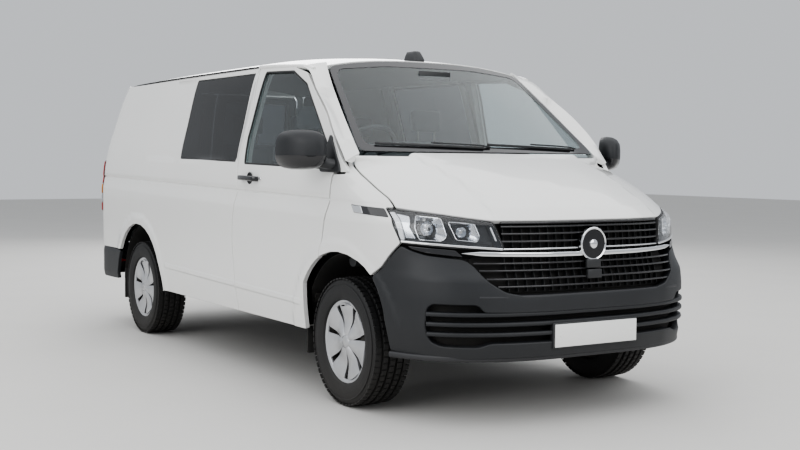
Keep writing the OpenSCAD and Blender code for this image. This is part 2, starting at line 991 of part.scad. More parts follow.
module tyre(x, side) {
    r = tyre_r;
    w = tyre_w / 2;
    color([0.05, 0.05, 0.05])
        translate([x, side * track / 2, tyre_r])
            rotate([90, 0, 0])
                rotate_extrude($fn = 128)
                    polygon([[rim_r, -w + 20], [rim_r + 30, -w + 4], [r - 60, -w], [r - 22, -w + 8],
                        [r - 6, -w + 26], [r, 0], [r - 6, w - 26], [r - 22, w - 8], [r - 60, w],
                        [rim_r + 30, w - 4], [rim_r, w - 20]]);
}
spokes = 7;
module rim(x, side) {
    w = tyre_w / 2 - 20;
    color([0.75, 0.76, 0.78])
        translate([x, side * track / 2, tyre_r])
            rotate([-90 * side, 0, 0])
                difference() {
                    union() {
                        difference() {
                            translate([0, 0, -w])
                                cylinder(r = rim_r, h = 2 * w, $fn = 128);
                            translate([0, 0, -w - 1])
                                cylinder(r = rim_r - 14, h = 2 * w - 29, $fn = 128);
                        }
                        translate([0, 0, -40])
                            cylinder(r = 80, h = w + 30, $fn = 96);
                    }
                    translate([0, 0, -60])
                        cylinder(r = spindle_r + running_gap, h = 40 + 60 + 4, $fn = 48);
                    for (i = [0:spokes - 1])
                        rotate([0, 0, 360 / spokes * i])
                            translate([0, 0, w - 40])
                                linear_extrude(60)
                                    polygon([[100, -10], [180, -30], [180, 30], [100, 10]]);
                }
}
module tyre_fr() {
    tyre(axle_f, -1);
}
module rim_fr() {
    rim(axle_f, -1);
}
module tyre_fl() {
    tyre(axle_f, 1);
}
module rim_fl() {
    rim(axle_f, 1);
}
module tyre_rr() {
    tyre(axle_r, -1);
}
module rim_rr() {
    rim(axle_r, -1);
}
module tyre_rl() {
    tyre(axle_r, 1);
}
module rim_rl() {
    rim(axle_r, 1);
}

floor();
side_r();
side_l();
roof();
wings();
cowl();
windscreen();
grille();
front_bumper();
rear_bumper();
headlamps();
tail_lamps();
front_plate();
slide_door();
side_glass();
wipers();
aerial();
engine();
dashboard();
front_seats();
rear_bench();
front_axle();
rear_axle();
bonnet();
door_r();
door_glass_r();
mirror_r();
door_l();
door_glass_l();
mirror_l();
rear_door_r();
rear_glass_r();
rear_door_l();
rear_glass_l();
knuckle_r();
knuckle_l();
steering_wheel();
tyre_fr();
rim_fr();
tyre_fl();
rim_fl();
tyre_rr();
rim_rr();
tyre_rl();
rim_rl();
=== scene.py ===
import json
import math

import bmesh
import bpy
import numpy as np
from mathutils import Matrix, Vector
from mathutils.geometry import delaunay_2d_cdt

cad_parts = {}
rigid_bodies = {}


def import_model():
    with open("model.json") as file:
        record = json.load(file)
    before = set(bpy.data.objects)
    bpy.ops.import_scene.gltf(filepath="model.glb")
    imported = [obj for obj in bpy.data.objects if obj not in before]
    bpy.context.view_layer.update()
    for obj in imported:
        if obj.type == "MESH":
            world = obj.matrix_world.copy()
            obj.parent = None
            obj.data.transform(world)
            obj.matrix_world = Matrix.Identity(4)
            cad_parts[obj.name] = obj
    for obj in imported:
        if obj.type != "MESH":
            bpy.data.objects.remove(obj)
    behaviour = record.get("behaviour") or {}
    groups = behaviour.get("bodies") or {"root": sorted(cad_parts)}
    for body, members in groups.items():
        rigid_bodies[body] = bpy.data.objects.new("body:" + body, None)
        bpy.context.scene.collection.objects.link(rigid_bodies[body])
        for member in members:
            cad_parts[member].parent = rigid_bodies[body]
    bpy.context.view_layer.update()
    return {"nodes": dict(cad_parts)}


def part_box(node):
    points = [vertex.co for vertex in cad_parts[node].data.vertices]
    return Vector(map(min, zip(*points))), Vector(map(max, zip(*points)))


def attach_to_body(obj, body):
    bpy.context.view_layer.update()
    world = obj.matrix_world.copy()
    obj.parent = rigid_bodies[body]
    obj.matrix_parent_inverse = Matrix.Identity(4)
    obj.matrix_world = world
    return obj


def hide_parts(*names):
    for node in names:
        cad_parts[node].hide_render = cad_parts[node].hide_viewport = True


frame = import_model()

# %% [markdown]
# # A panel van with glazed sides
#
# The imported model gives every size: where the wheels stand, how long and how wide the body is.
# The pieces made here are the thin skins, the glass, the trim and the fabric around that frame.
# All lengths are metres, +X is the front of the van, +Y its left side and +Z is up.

CAD = frame["nodes"]


def middle(node):
    low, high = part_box(node)
    return (low + high) / 2


AXLE_FRONT = middle("tyre_fr").x
AXLE_REAR = middle("tyre_rr").x
TYRE_R = middle("tyre_fr").z
HALF = 0.952
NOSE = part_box("front_bumper")[1].x
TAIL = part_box("rear_door_r")[0].x
RIGHT, LEFT = -1, 1
ARCH_R = 0.46
DRIVER_Y = -0.38
SIDES = ((RIGHT, "right"), (LEFT, "left"))
DOORS = ((RIGHT, "r"), (LEFT, "l"))
CORNERS = (("fr", RIGHT), ("fl", LEFT), ("rr", RIGHT), ("rl", LEFT))
print("axles at", round(AXLE_FRONT, 3), round(AXLE_REAR, 3), "nose at", round(NOSE, 3))

# %% [markdown]
# ## Camera, floor and light
#
# The van is seen from the front right, a little below the height of a person's eyes, with a lens
# slightly longer than normal. The studio has a pale floor, one large soft light above and three
# smaller ones to the right, in front and behind, so that the shut lines and the grain can be read.

# %% Studio
YAW, PITCH, ROLL = math.radians(148.092), math.radians(-3.093), math.radians(0.464)
EYE = Vector((6.864, -3.888, 1.268))


def aim(yaw, pitch, roll):
    ahead = Vector((math.cos(pitch) * math.cos(yaw), math.cos(pitch) * math.sin(yaw), math.sin(pitch)))
    side = ahead.cross(Vector((0, 0, 1))).normalized()
    up = side.cross(ahead)
    right = side * math.cos(roll) + up * math.sin(roll)
    top = up * math.cos(roll) - side * math.sin(roll)
    return Matrix((right, top, -ahead)).transposed().to_4x4()


camera = bpy.data.objects.new("camera", bpy.data.cameras.new("camera"))
camera.data.lens = 53.46
camera.matrix_world = Matrix.Translation(EYE) @ aim(YAW, PITCH, ROLL)
bpy.context.scene.collection.objects.link(camera)
bpy.context.scene.camera = camera


def soft_light(name, place, target, size, watts):
    data = bpy.data.lights.new(name, "AREA")
    data.shape = "RECTANGLE"
    data.size, data.size_y = size
    data.energy = watts
    light = bpy.data.objects.new(name, data)
    light.location = place
    light.rotation_euler = (Vector(target) - Vector(place)).to_track_quat("-Z", "Y").to_euler()
    bpy.context.scene.collection.objects.link(light)
    return light


soft_light("overhead", (0.5, -0.5, 6.5), (0, 0, 0), (17, 15), 760)
soft_light("right_hand", (3.5, -8.0, 3.6), (0.4, 0, 0.8), (6, 4), 200)
soft_light("front", (9.0, 1.5, 3.8), (1.5, 0, 0.8), (5, 4), 150)
soft_light("behind", (-8.5, 4.5, 4.5), (-1, 0, 0.9), (6, 4), 260)
world = bpy.data.worlds.new("studio")
world.use_nodes = True
world.node_tree.nodes["Background"].inputs["Color"].default_value = (0.93, 0.96, 1.0, 1)
world.node_tree.nodes["Background"].inputs["Strength"].default_value = 0.62
bpy.context.scene.world = world
bpy.context.scene.view_settings.view_transform = "AgX"
bpy.context.scene.view_settings.look = "AgX - Medium High Contrast"
print("camera and", len(bpy.data.lights), "lights")

# %% [markdown]
# ## Effects that several finishes share
#
# Real surfaces are never one flat tone. Paint has a slight orange peel, moulded plastic has a
# leather-like grain, everything low on a van carries a film of road dust. Each effect is a small
# node group that gives a mask or a height, and each finish uses it with its own strength.

# %% Effect groups


def effect_group(name, inputs, outputs):
    tree = bpy.data.node_groups.new(name, "ShaderNodeTree")
    for label, value in inputs.items():
        socket = tree.interface.new_socket(label, in_out="INPUT", socket_type="NodeSocketFloat")
        socket.default_value = value
    for label in outputs:
        tree.interface.new_socket(label, in_out="OUTPUT", socket_type="NodeSocketFloat")
    return tree, tree.nodes.new("NodeGroupInput"), tree.nodes.new("NodeGroupOutput")


def place_of(tree):
    return tree.nodes.new("ShaderNodeTexCoord").outputs["Object"]


def wire(tree, start, end):
    tree.links.new(start, end)


def maths(tree, operation, a, b=None, clamp=False):
    node = tree.nodes.new("ShaderNodeMath")
    node.operation = operation
    node.use_clamp = clamp
    for socket, value in zip(node.inputs, (a, b)):
        if value is None:
            continue
        if isinstance(value, (int, float)):
            socket.default_value = value
        else:
            wire(tree, value, socket)
    return node.outputs[0]


def noise(tree, scale, detail=4.0, roughness=0.55):
    node = tree.nodes.new("ShaderNodeTexNoise")
    node.inputs["Detail"].default_value = detail
    node.inputs["Roughness"].default_value = roughness
    wire(tree, place_of(tree), node.inputs["Vector"])
    if isinstance(scale, (int, float)):
        node.inputs["Scale"].default_value = scale
    else:
        wire(tree, scale, node.inputs["Scale"])
    return node.outputs["Fac"]


def build_mottle():
    tree, given, result = effect_group("mottle", {"Scale": 3.0, "Contrast": 1.0}, ["Mask"])
    cloud = noise(tree, given.outputs["Scale"], 6.0)
    spread = maths(tree, "MULTIPLY", maths(tree, "SUBTRACT", cloud, 0.5), given.outputs["Contrast"])
    wire(tree, maths(tree, "ADD", spread, 0.5, clamp=True), result.inputs["Mask"])
    return tree


def build_grain():
    tree, given, result = effect_group("grain", {"Scale": 900.0}, ["Height"])
    cells = tree.nodes.new("ShaderNodeTexVoronoi")
    cells.feature = "SMOOTH_F1"
    wire(tree, place_of(tree), cells.inputs["Vector"])
    wire(tree, given.outputs["Scale"], cells.inputs["Scale"])
    wire(tree, cells.outputs["Distance"], result.inputs["Height"])
    return tree


def build_ripple():
    tree, given, result = effect_group("ripple", {"Scale": 260.0}, ["Height"])
    wire(tree, noise(tree, given.outputs["Scale"], 2.0), result.inputs["Height"])
    return tree


def build_road_dust():
    names = {"Top": 0.7, "Amount": 0.4}
    tree, given, result = effect_group("road_dust", names, ["Mask"])
    split = tree.nodes.new("ShaderNodeSeparateXYZ")
    wire(tree, place_of(tree), split.inputs[0])
    share = maths(tree, "DIVIDE", split.outputs["Z"], given.outputs["Top"])
    low = maths(tree, "SUBTRACT", 1.0, share, clamp=True)
    film = maths(tree, "MULTIPLY", low, noise(tree, 7.0, 8.0, 0.65))
    wire(tree, maths(tree, "MULTIPLY", film, given.outputs["Amount"], clamp=True), result.inputs["Mask"])
    return tree


def build_weave():
    tree, given, result = effect_group("weave", {"Scale": 420.0}, ["Height", "Thread"])
    threads = []
    for direction in ("X", "Z"):
        wave = tree.nodes.new("ShaderNodeTexWave")
        wave.bands_direction = direction
        wave.inputs["Distortion"].default_value = 0.6
        wire(tree, place_of(tree), wave.inputs["Vector"])
        wire(tree, given.outputs["Scale"], wave.inputs["Scale"])
        threads.append(wave.outputs["Fac"])
    wire(tree, maths(tree, "MAXIMUM", *threads), result.inputs["Height"])
    wire(tree, maths(tree, "MULTIPLY", *threads), result.inputs["Thread"])
    return tree


MOTTLE, GRAIN, RIPPLE = build_mottle(), build_grain(), build_ripple()
ROAD_DUST, WEAVE = build_road_dust(), build_weave()
DUST_TONE = (0.30, 0.26, 0.21, 1)
print("effects:", [g.name for g in bpy.data.node_groups])

# %% [markdown]
# ## Finishes
#
# Every finish starts from one Principled shader. Two close tones are mixed by a mottle mask, the
# same mask varies the roughness, and a bump takes its height from the grain, ripple or weave.

# %% Finish builder


def finish(name, tone, second=None, roughness=0.5, spread=0.08, mottle=(3.0, 1.0), relief=None,
           depth=0.0002, dust=0.0, dust_top=0.7, **sockets):
    material = bpy.data.materials.new(name)
    material.use_nodes = True
    tree = material.node_tree
    shader = tree.nodes["Principled BSDF"]
    for label, value in sockets.items():
        shader.inputs[label.replace("_", " ")].default_value = value
    mask = tree.nodes.new("ShaderNodeGroup")
    mask.node_tree = MOTTLE
    mask.inputs["Scale"].default_value, mask.inputs["Contrast"].default_value = mottle
    blend = tree.nodes.new("ShaderNodeMix")
    blend.data_type = "RGBA"
    wire(tree, mask.outputs["Mask"], blend.inputs["Factor"])
    blend.inputs["A"].default_value = (*tone, 1)
    blend.inputs["B"].default_value = (*(second or tuple(0.9 * c for c in tone)), 1)
    colour = blend.outputs["Result"]
    rough = tree.nodes.new("ShaderNodeMapRange")
    wire(tree, mask.outputs["Mask"], rough.inputs["Value"])
    rough.inputs["To Min"].default_value = max(0.0, roughness - spread / 2)
    rough.inputs["To Max"].default_value = roughness + spread / 2
    gloss = rough.outputs["Result"]
    if dust:
        film = tree.nodes.new("ShaderNodeGroup")
        film.node_tree = ROAD_DUST
        film.inputs["Top"].default_value = dust_top
        film.inputs["Amount"].default_value = dust
        over = tree.nodes.new("ShaderNodeMix")
        over.data_type = "RGBA"
        wire(tree, film.outputs["Mask"], over.inputs["Factor"])
        wire(tree, colour, over.inputs["A"])
        over.inputs["B"].default_value = DUST_TONE
        colour = over.outputs["Result"]
        gloss = maths(tree, "ADD", gloss, maths(tree, "MULTIPLY", film.outputs["Mask"], 0.5), clamp=True)
    wire(tree, colour, shader.inputs["Base Color"])
    wire(tree, gloss, shader.inputs["Roughness"])
    if relief:
        group, scale = relief
        height = tree.nodes.new("ShaderNodeGroup")
        height.node_tree = group
        height.inputs["Scale"].default_value = scale
        bump = tree.nodes.new("ShaderNodeBump")
        bump.inputs["Distance"].default_value = depth
        bump.inputs["Strength"].default_value = 0.6
        wire(tree, height.outputs["Height"], bump.inputs["Height"])
        wire(tree, bump.outputs["Normal"], shader.inputs["Normal"])
    return material


def window_finish(name, tint, roughness=0.0):
    """Clear or tinted glass: light for the shadows passes straight through, so the cab stays lit."""
    material = finish(name, tint, tuple(0.94 * c for c in tint), roughness, 0.01, IOR=1.45)
    tree = material.node_tree
    shader = tree.nodes["Principled BSDF"]
    shader.inputs["Transmission Weight"].default_value = 1.0
    through = tree.nodes.new("ShaderNodeBsdfTransparent")
    through.inputs["Color"].default_value = (*tint, 1)
    ray = tree.nodes.new("ShaderNodeLightPath")
    either = tree.nodes.new("ShaderNodeMixShader")
    wire(tree, ray.outputs["Is Shadow Ray"], either.inputs[0])
    wire(tree, shader.outputs[0], either.inputs[1])
    wire(tree, through.outputs[0], either.inputs[2])
    wire(tree, either.outputs[0], tree.nodes["Material Output"].inputs["Surface"])
    return material


print("finish builders ready")

# %% Finishes of the van
WHITE = finish("white_paint", (0.80, 0.80, 0.785), (0.77, 0.77, 0.752), 0.30, 0.06, (2.0, 1.0),
               (RIPPLE, 240.0), 0.00003, 0.22, 0.6, Coat_Weight=0.9, Coat_Roughness=0.06)
GRAINED = finish("grained_plastic", (0.013, 0.0145, 0.017), (0.018, 0.0195, 0.022), 0.48, 0.10, (9.0, 1.2),
                 (GRAIN, 800.0), 0.0003, 0.06, 0.6)
LIP = finish("bumper_lip", (0.022, 0.023, 0.026), (0.028, 0.029, 0.032), 0.46, 0.10, (9.0, 1.2),
             (GRAIN, 800.0), 0.0003, 0.08, 0.5)
SATIN = finish("satin_black", (0.022, 0.023, 0.025), (0.030, 0.031, 0.033), 0.38, 0.10, (14.0, 1.2),
               (GRAIN, 1500.0), 0.0001)
GLOSS = finish("gloss_black", (0.012, 0.012, 0.014), (0.018, 0.018, 0.020), 0.12, 0.05, (8.0, 1.0),
               Coat_Weight=0.5)
CHROME = finish("chrome", (0.86, 0.87, 0.88), (0.80, 0.81, 0.83), 0.08, 0.05, (12.0, 1.0), Metallic=1.0)
REFLECTOR = finish("lamp_reflector", (0.80, 0.82, 0.85), (0.68, 0.70, 0.74), 0.12, 0.08, (20.0, 1.2),
                   Metallic=1.0)
BEZEL = finish("lamp_bezel", (0.035, 0.038, 0.044), (0.050, 0.053, 0.060), 0.32, 0.10, (20.0, 1.2))
RUBBER = finish("tyre_rubber", (0.010, 0.010, 0.011), (0.015, 0.015, 0.015), 0.62, 0.14, (16.0, 1.4),
                (GRAIN, 1200.0), 0.0003, 0.10, 0.5)
SEAL = finish("rubber_seal", (0.016, 0.016, 0.017), (0.024, 0.024, 0.025), 0.62, 0.12, (18.0, 1.2))
SILVER = finish("wheel_silver", (0.60, 0.61, 0.63), (0.50, 0.51, 0.53), 0.34, 0.12, (14.0, 1.2),
                (RIPPLE, 500.0), 0.00004, 0.35, 0.9, Metallic=0.75, Coat_Weight=0.4)
STEEL = finish("bare_steel", (0.30, 0.29, 0.28), (0.20, 0.17, 0.15), 0.45, 0.2, (30.0, 1.6), (RIPPLE, 300.0),
               0.0002, Metallic=0.9)
CHASSIS = finish("chassis_black", (0.030, 0.030, 0.031), (0.050, 0.047, 0.043), 0.65, 0.2, (6.0, 1.8),
                 (RIPPLE, 90.0), 0.0008, 0.30, 0.6)
LINER = finish("arch_liner", (0.016, 0.016, 0.016), (0.030, 0.028, 0.026), 0.85, 0.1, (8.0, 1.8),
               (GRAIN, 300.0), 0.0006, 0.15, 0.6)
ENGINE = finish("cast_metal", (0.32, 0.32, 0.33), (0.18, 0.17, 0.17), 0.5, 0.2, (22.0, 1.8), (RIPPLE, 200.0),
                0.0008, Metallic=0.8)
TRIM = finish("cab_trim", (0.075, 0.078, 0.082), (0.090, 0.093, 0.097), 0.6, 0.1, (10.0, 1.2),
              (GRAIN, 1000.0), 0.0003)
PALE_TRIM = finish("pale_trim", (0.42, 0.42, 0.40), (0.38, 0.38, 0.36), 0.7, 0.1, (10.0, 1.2),
                   (GRAIN, 1200.0), 0.0002)
CLOTH = finish("seat_cloth", (0.060, 0.063, 0.070), (0.085, 0.088, 0.096), 0.9, 0.08, (120.0, 2.0),
               (WEAVE, 160.0), 0.0008, Sheen_Weight=0.3)
MAT = finish("floor_mat", (0.035, 0.036, 0.038), (0.050, 0.050, 0.051), 0.8, 0.1, (12.0, 1.4), (GRAIN, 200.0),
             0.0008)
PLATE = finish("plate_white", (0.82, 0.82, 0.80), (0.79, 0.79, 0.77), 0.25, 0.06, (30.0, 1.0),
               (GRAIN, 500.0), 0.00005, Coat_Weight=0.6)
RED = finish("red_lens", (0.46, 0.012, 0.014), (0.36, 0.010, 0.012), 0.12, 0.05, (20.0, 1.2), (GRAIN, 220.0),
             0.0005, Coat_Weight=0.8)
AMBER = finish("amber_lens", (0.80, 0.30, 0.03), (0.70, 0.24, 0.02), 0.15, 0.05, (20.0, 1.2), (GRAIN, 220.0),
               0.0005, Coat_Weight=0.6)
WINDOW = window_finish("window_glass", (0.62, 0.69, 0.70))
PRIVACY = window_finish("privacy_glass", (0.055, 0.062, 0.070))
PALE_LENS = finish("pale_lens", (0.74, 0.75, 0.76), (0.66, 0.67, 0.69), 0.14, 0.06, (30.0, 1.4),
                   (GRAIN, 260.0), 0.0004, Coat_Weight=0.7)
LENS = window_finish("lamp_lens", (0.96, 0.97, 0.98))
GROUND = finish("studio_floor", (0.62, 0.61, 0.59), (0.58, 0.57, 0.55), 0.85, 0.1, (1.2, 1.0),
                (RIPPLE, 60.0), 0.0005)
print(len(bpy.data.materials), "finishes")

# %% [markdown]
# ## Making meshes
#
# Most shapes of a vehicle are one of a few kinds: a curved panel with a turned edge, a section
# swept along a path, a profile turned round an axis, and a box with rounded edges. One helper
# for each kind returns plain vertices and faces, and `make` joins them into a piece.

# %% Mesh helpers


def curve(points):
    """A smooth line through points (x, y) that never overshoots them, as a function of x."""
    x, y = np.array(points, float).T
    step = np.diff(x)
    rise = np.diff(y) / step
    slope = np.empty_like(y)
    slope[0], slope[-1] = rise[0], rise[-1]
    product = rise[:-1] * rise[1:]
    total = np.where(product > 0, rise[:-1] + rise[1:], 1.0)
    slope[1:-1] = np.where(product > 0, 2 * product / total, 0.0)

    def value(t):
        t = np.asarray(t, float)
        i = np.clip(np.searchsorted(x, t) - 1, 0, len(step) - 1)
        s = (t - x[i]) / step[i]
        inside = np.clip(s, 0, 1)
        a, b = y[i], y[i + 1]
        h = (1 + 2 * inside) * (1 - inside) ** 2 * a + inside * (1 - inside) ** 2 * step[i] * slope[i]
        h = h + inside**2 * (3 - 2 * inside) * b + inside**2 * (inside - 1) * step[i] * slope[i + 1]
        h = h + np.where(s < 0, s * step[i] * slope[i], 0)
        return h + np.where(s > 1, (s - 1) * step[i] * slope[i + 1], 0)

    return value


def ease(t):
    t = np.clip(t, 0, 1)
    return t * t * (3 - 2 * t)


def unit(v):
    return v / np.maximum(np.linalg.norm(v, axis=-1, keepdims=True), 1e-12)


def attach(piece, body, stands_for=()):
    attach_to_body(piece, body)
    if stands_for:
        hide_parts(*stands_for)
    return piece


def to_object(name, vertices, faces, material):
    mesh = bpy.data.meshes.new(name)
    mesh.from_pydata([tuple(map(float, v)) for v in vertices], [], faces)
    mesh.materials.append(material)
    piece = bpy.data.objects.new(name, mesh)
    bpy.context.scene.collection.objects.link(piece)
    return piece


def make(name, parts, material, body, stands_for=(), sharp=40):
    vertices, faces = [], []
    for points, loops in parts:
        faces += [tuple(i + len(vertices) for i in loop) for loop in loops]
        vertices += list(points)
    piece = to_object(name, vertices, faces, material)
    piece.data.shade_smooth()
    piece.data.set_sharp_from_angle(angle=math.radians(sharp))
    return attach(piece, body, stands_for)


def loft(rings, closed=True, caps=True):
    """Quads between rings with the same number of points."""
    rings = [np.asarray(r, float) for r in rings]
    n = len(rings[0])
    faces = []
    for k in range(len(rings) - 1):
        for i in range(n if closed else n - 1):
            j = (i + 1) % n
            faces.append((k * n + i, k * n + j, (k + 1) * n + j, (k + 1) * n + i))
    if caps and closed:
        faces.append(tuple(range(n - 1, -1, -1)))
        faces.append(tuple(range((len(rings) - 1) * n, len(rings) * n)))
    return np.concatenate(rings), faces


def frames_along(path, up):
    path = np.asarray(path, float)
    ahead = unit(np.gradient(path, axis=0))
    side = unit(np.cross(ahead, np.asarray(up, float)))
    return path, side, np.cross(side, ahead)


def sweep(path, section, up=(0, 0, 1), caps=True, round_path=False):
    """A closed section (side, up) carried along a path."""
    path, side, top = frames_along(path, up)
    if round_path:
        nearby = unit(np.roll(path, -1, 0) - np.roll(path, 1, 0))
        side = unit(np.cross(nearby, np.asarray(up, float)))
        top = np.cross(side, nearby)
    rings = [p + np.outer([q[0] for q in section], s) + np.outer([q[1] for q in section], t)
             for p, s, t in zip(path, side, top)]
    if round_path:
        rings.append(rings[0])
    return loft(rings, caps=caps and not round_path)


def circle(radius, steps=12, squash=1.0):
    turn = [2 * math.pi * i / steps for i in range(steps)]
    return [(radius * math.cos(a), radius * squash * math.sin(a)) for a in turn]


def soft_rectangle(width, height, radius=0.003, steps=3):
    points = []
    for cx, cy, start in ((1, 1, 0), (-1, 1, 90), (-1, -1, 180), (1, -1, 270)):
        for i in range(steps + 1):
            a = math.radians(start + 90 * i / steps)
            points.append((cx * (width / 2 - radius) + radius * math.cos(a),
                           cy * (height / 2 - radius) + radius * math.sin(a)))
    return points


def smooth_path(points, count=40):
    """Points evenly spread on a soft line through a few given ones."""
    points = np.asarray(points, float)
    length = np.concatenate([[0], np.cumsum(np.linalg.norm(np.diff(points, axis=0), axis=1))])
    lines = [curve(list(zip(length, points[:, k]))) for k in range(3)]
    t = np.linspace(0, length[-1], count)
    return np.stack([line(t) for line in lines], 1)


def turned(profile, centre, axis, steps=64, span=360.0, start=0.0):
    """A profile of (distance along the axis, radius) turned round it."""
    axis = Vector(axis).normalized()
    across = axis.orthogonal().normalized()
    if abs(axis.z) < 0.5:
        across = Vector((0, 0, 1))
    third = axis.cross(across)
    whole = abs(span - 360) < 1e-6
    angles = [math.radians(start + span * i / steps) for i in range(steps if whole else steps + 1)]
    rings = []
    for a in angles:
        out = across * math.cos(a) + third * math.sin(a)
        rings.append([Vector(centre) + axis * h + out * r for h, r in profile])
    if whole:
        rings.append(rings[0])
    return loft(rings, closed=False)


def rounded_box(low, high, radius=0.01, segments=3, turn=None):
    low, high = Vector(low), Vector(high)
    mesh = bmesh.new()
    bmesh.ops.create_cube(mesh, size=1.0)
    for v in mesh.verts:
        v.co = Vector([low[k] + (v.co[k] + 0.5) * (high[k] - low[k]) for k in range(3)])
    bmesh.ops.bevel(mesh, geom=list(mesh.edges), offset=radius, segments=segments, profile=0.5,
                    affect="EDGES")
    mesh.verts.index_update()
    points = [v.co.copy() for v in mesh.verts]
    faces = [tuple(v.index for v in f.verts) for f in mesh.faces]
    mesh.free()
    if turn is not None:
        points = [turn @ p for p in points]
    return points, faces


told = {piece.name for piece in bpy.data.objects}


def say_new(what):
    """Prints the pieces made since the last call."""
    new = [piece.name for piece in bpy.data.objects if piece.name not in told]
    told.update(new)
    print(f"{what}: {len(new)} pieces,", ", ".join(new))


print("mesh helpers ready")

# %% [markdown]
# ## Pressed panels
#
# A body panel is a sheet cut to an outline, pressed to the body's surface and turned in at every
# edge. Here the outline is drawn on a flat map of the surface, filled with a fine triangle mesh,
# and carried onto the surface by a formula. The turned edge is a quarter round and a short flange,
# and the shading normals come from the formula too, so the light runs over it without a facet.

# %% Panel builder


def soften(outline, radius, step):
    """Rounds the outline's corners and spreads points along it."""
    points = [np.array(p, float) for p in outline]
    rounded = []
    for i, here in enumerate(points):
        before, after = points[i - 1] - here, points[(i + 1) % len(points)] - here
        lengths = np.linalg.norm(before), np.linalg.norm(after)
        cut = min(radius, 0.45 * lengths[0], 0.45 * lengths[1])
        a, b = here + before / lengths[0] * cut, here + after / lengths[1] * cut
        for t in np.linspace(0, 1, 6):
            rounded.append((1 - t) ** 2 * a + 2 * t * (1 - t) * here + t**2 * b)
    spread = []
    for i, here in enumerate(rounded):
        there = rounded[(i + 1) % len(rounded)]
        pieces = max(1, int(np.linalg.norm(there - here) / step))
        spread += [here + (there - here) * k / pieces for k in range(pieces)]
    return np.array(spread)


def inside(points, loop):
    x, y = points[:, 0][:, None], points[:, 1][:, None]
    ax, ay = loop[:, 0], loop[:, 1]
    bx, by = np.roll(ax, -1), np.roll(ay, -1)
    crosses = (ay > y) != (by > y)
    at = ax + (y - ay) / np.where(by == ay, 1e-12, by - ay) * (bx - ax)
    return (crosses & (x < at)).sum(1) % 2 == 1


def near(points, loop, gap):
    a, b = loop, np.roll(loop, -1, 0)
    along = b - a
    rel = points[:, None, :] - a
    t = np.clip((rel * along).sum(2) / np.maximum((along**2).sum(1), 1e-12), 0, 1)
    return (np.linalg.norm(rel - t[..., None] * along, axis=2) < gap).any(1)


def on_surface(surface, points, outward):
    """Positions, outward normals and the two tangents of a surface at map points."""
    u, v = points[:, 0], points[:, 1]
    e = 2e-4
    place = surface(u, v)
    du = (surface(u + e, v) - surface(u - e, v)) / (2 * e)
    dv = (surface(u, v + e) - surface(u, v - e)) / (2 * e)
    normal = unit(np.cross(du, dv))
    if (normal @ np.asarray(outward, float)).sum() < 0:
        normal = -normal
    return place, normal, du, dv


def edge_direction(loop, surface, outward, is_hole):
    """For each point of a loop: the way off the panel, in space and on the map."""
    place, normal, du, dv = on_surface(surface, loop, outward)
    along = unit(np.roll(place, -1, 0) - np.roll(place, 1, 0))
    off = unit(np.cross(along, normal))
    a, b, c = (du * du).sum(1), (du * dv).sum(1), (dv * dv).sum(1)
    p, q = (off * du).sum(1), (off * dv).sum(1)
    det = np.maximum(a * c - b * b, 1e-9)
    on_map = np.stack([(c * p - b * q) / det, (a * q - b * p) / det], 1)
    flat = np.roll(loop, -1, 0) - np.roll(loop, 1, 0)
    right = np.stack([flat[:, 1], -flat[:, 0]], 1)
    area = (loop[:, 0] * np.roll(loop[:, 1], -1) - np.roll(loop[:, 0], -1) * loop[:, 1]).sum()
    leaving = right * (1 if area > 0 else -1) * (-1 if is_hole else 1)
    if (leaving * on_map).sum() < 0:
        off, on_map = -off, -on_map
    return off, on_map


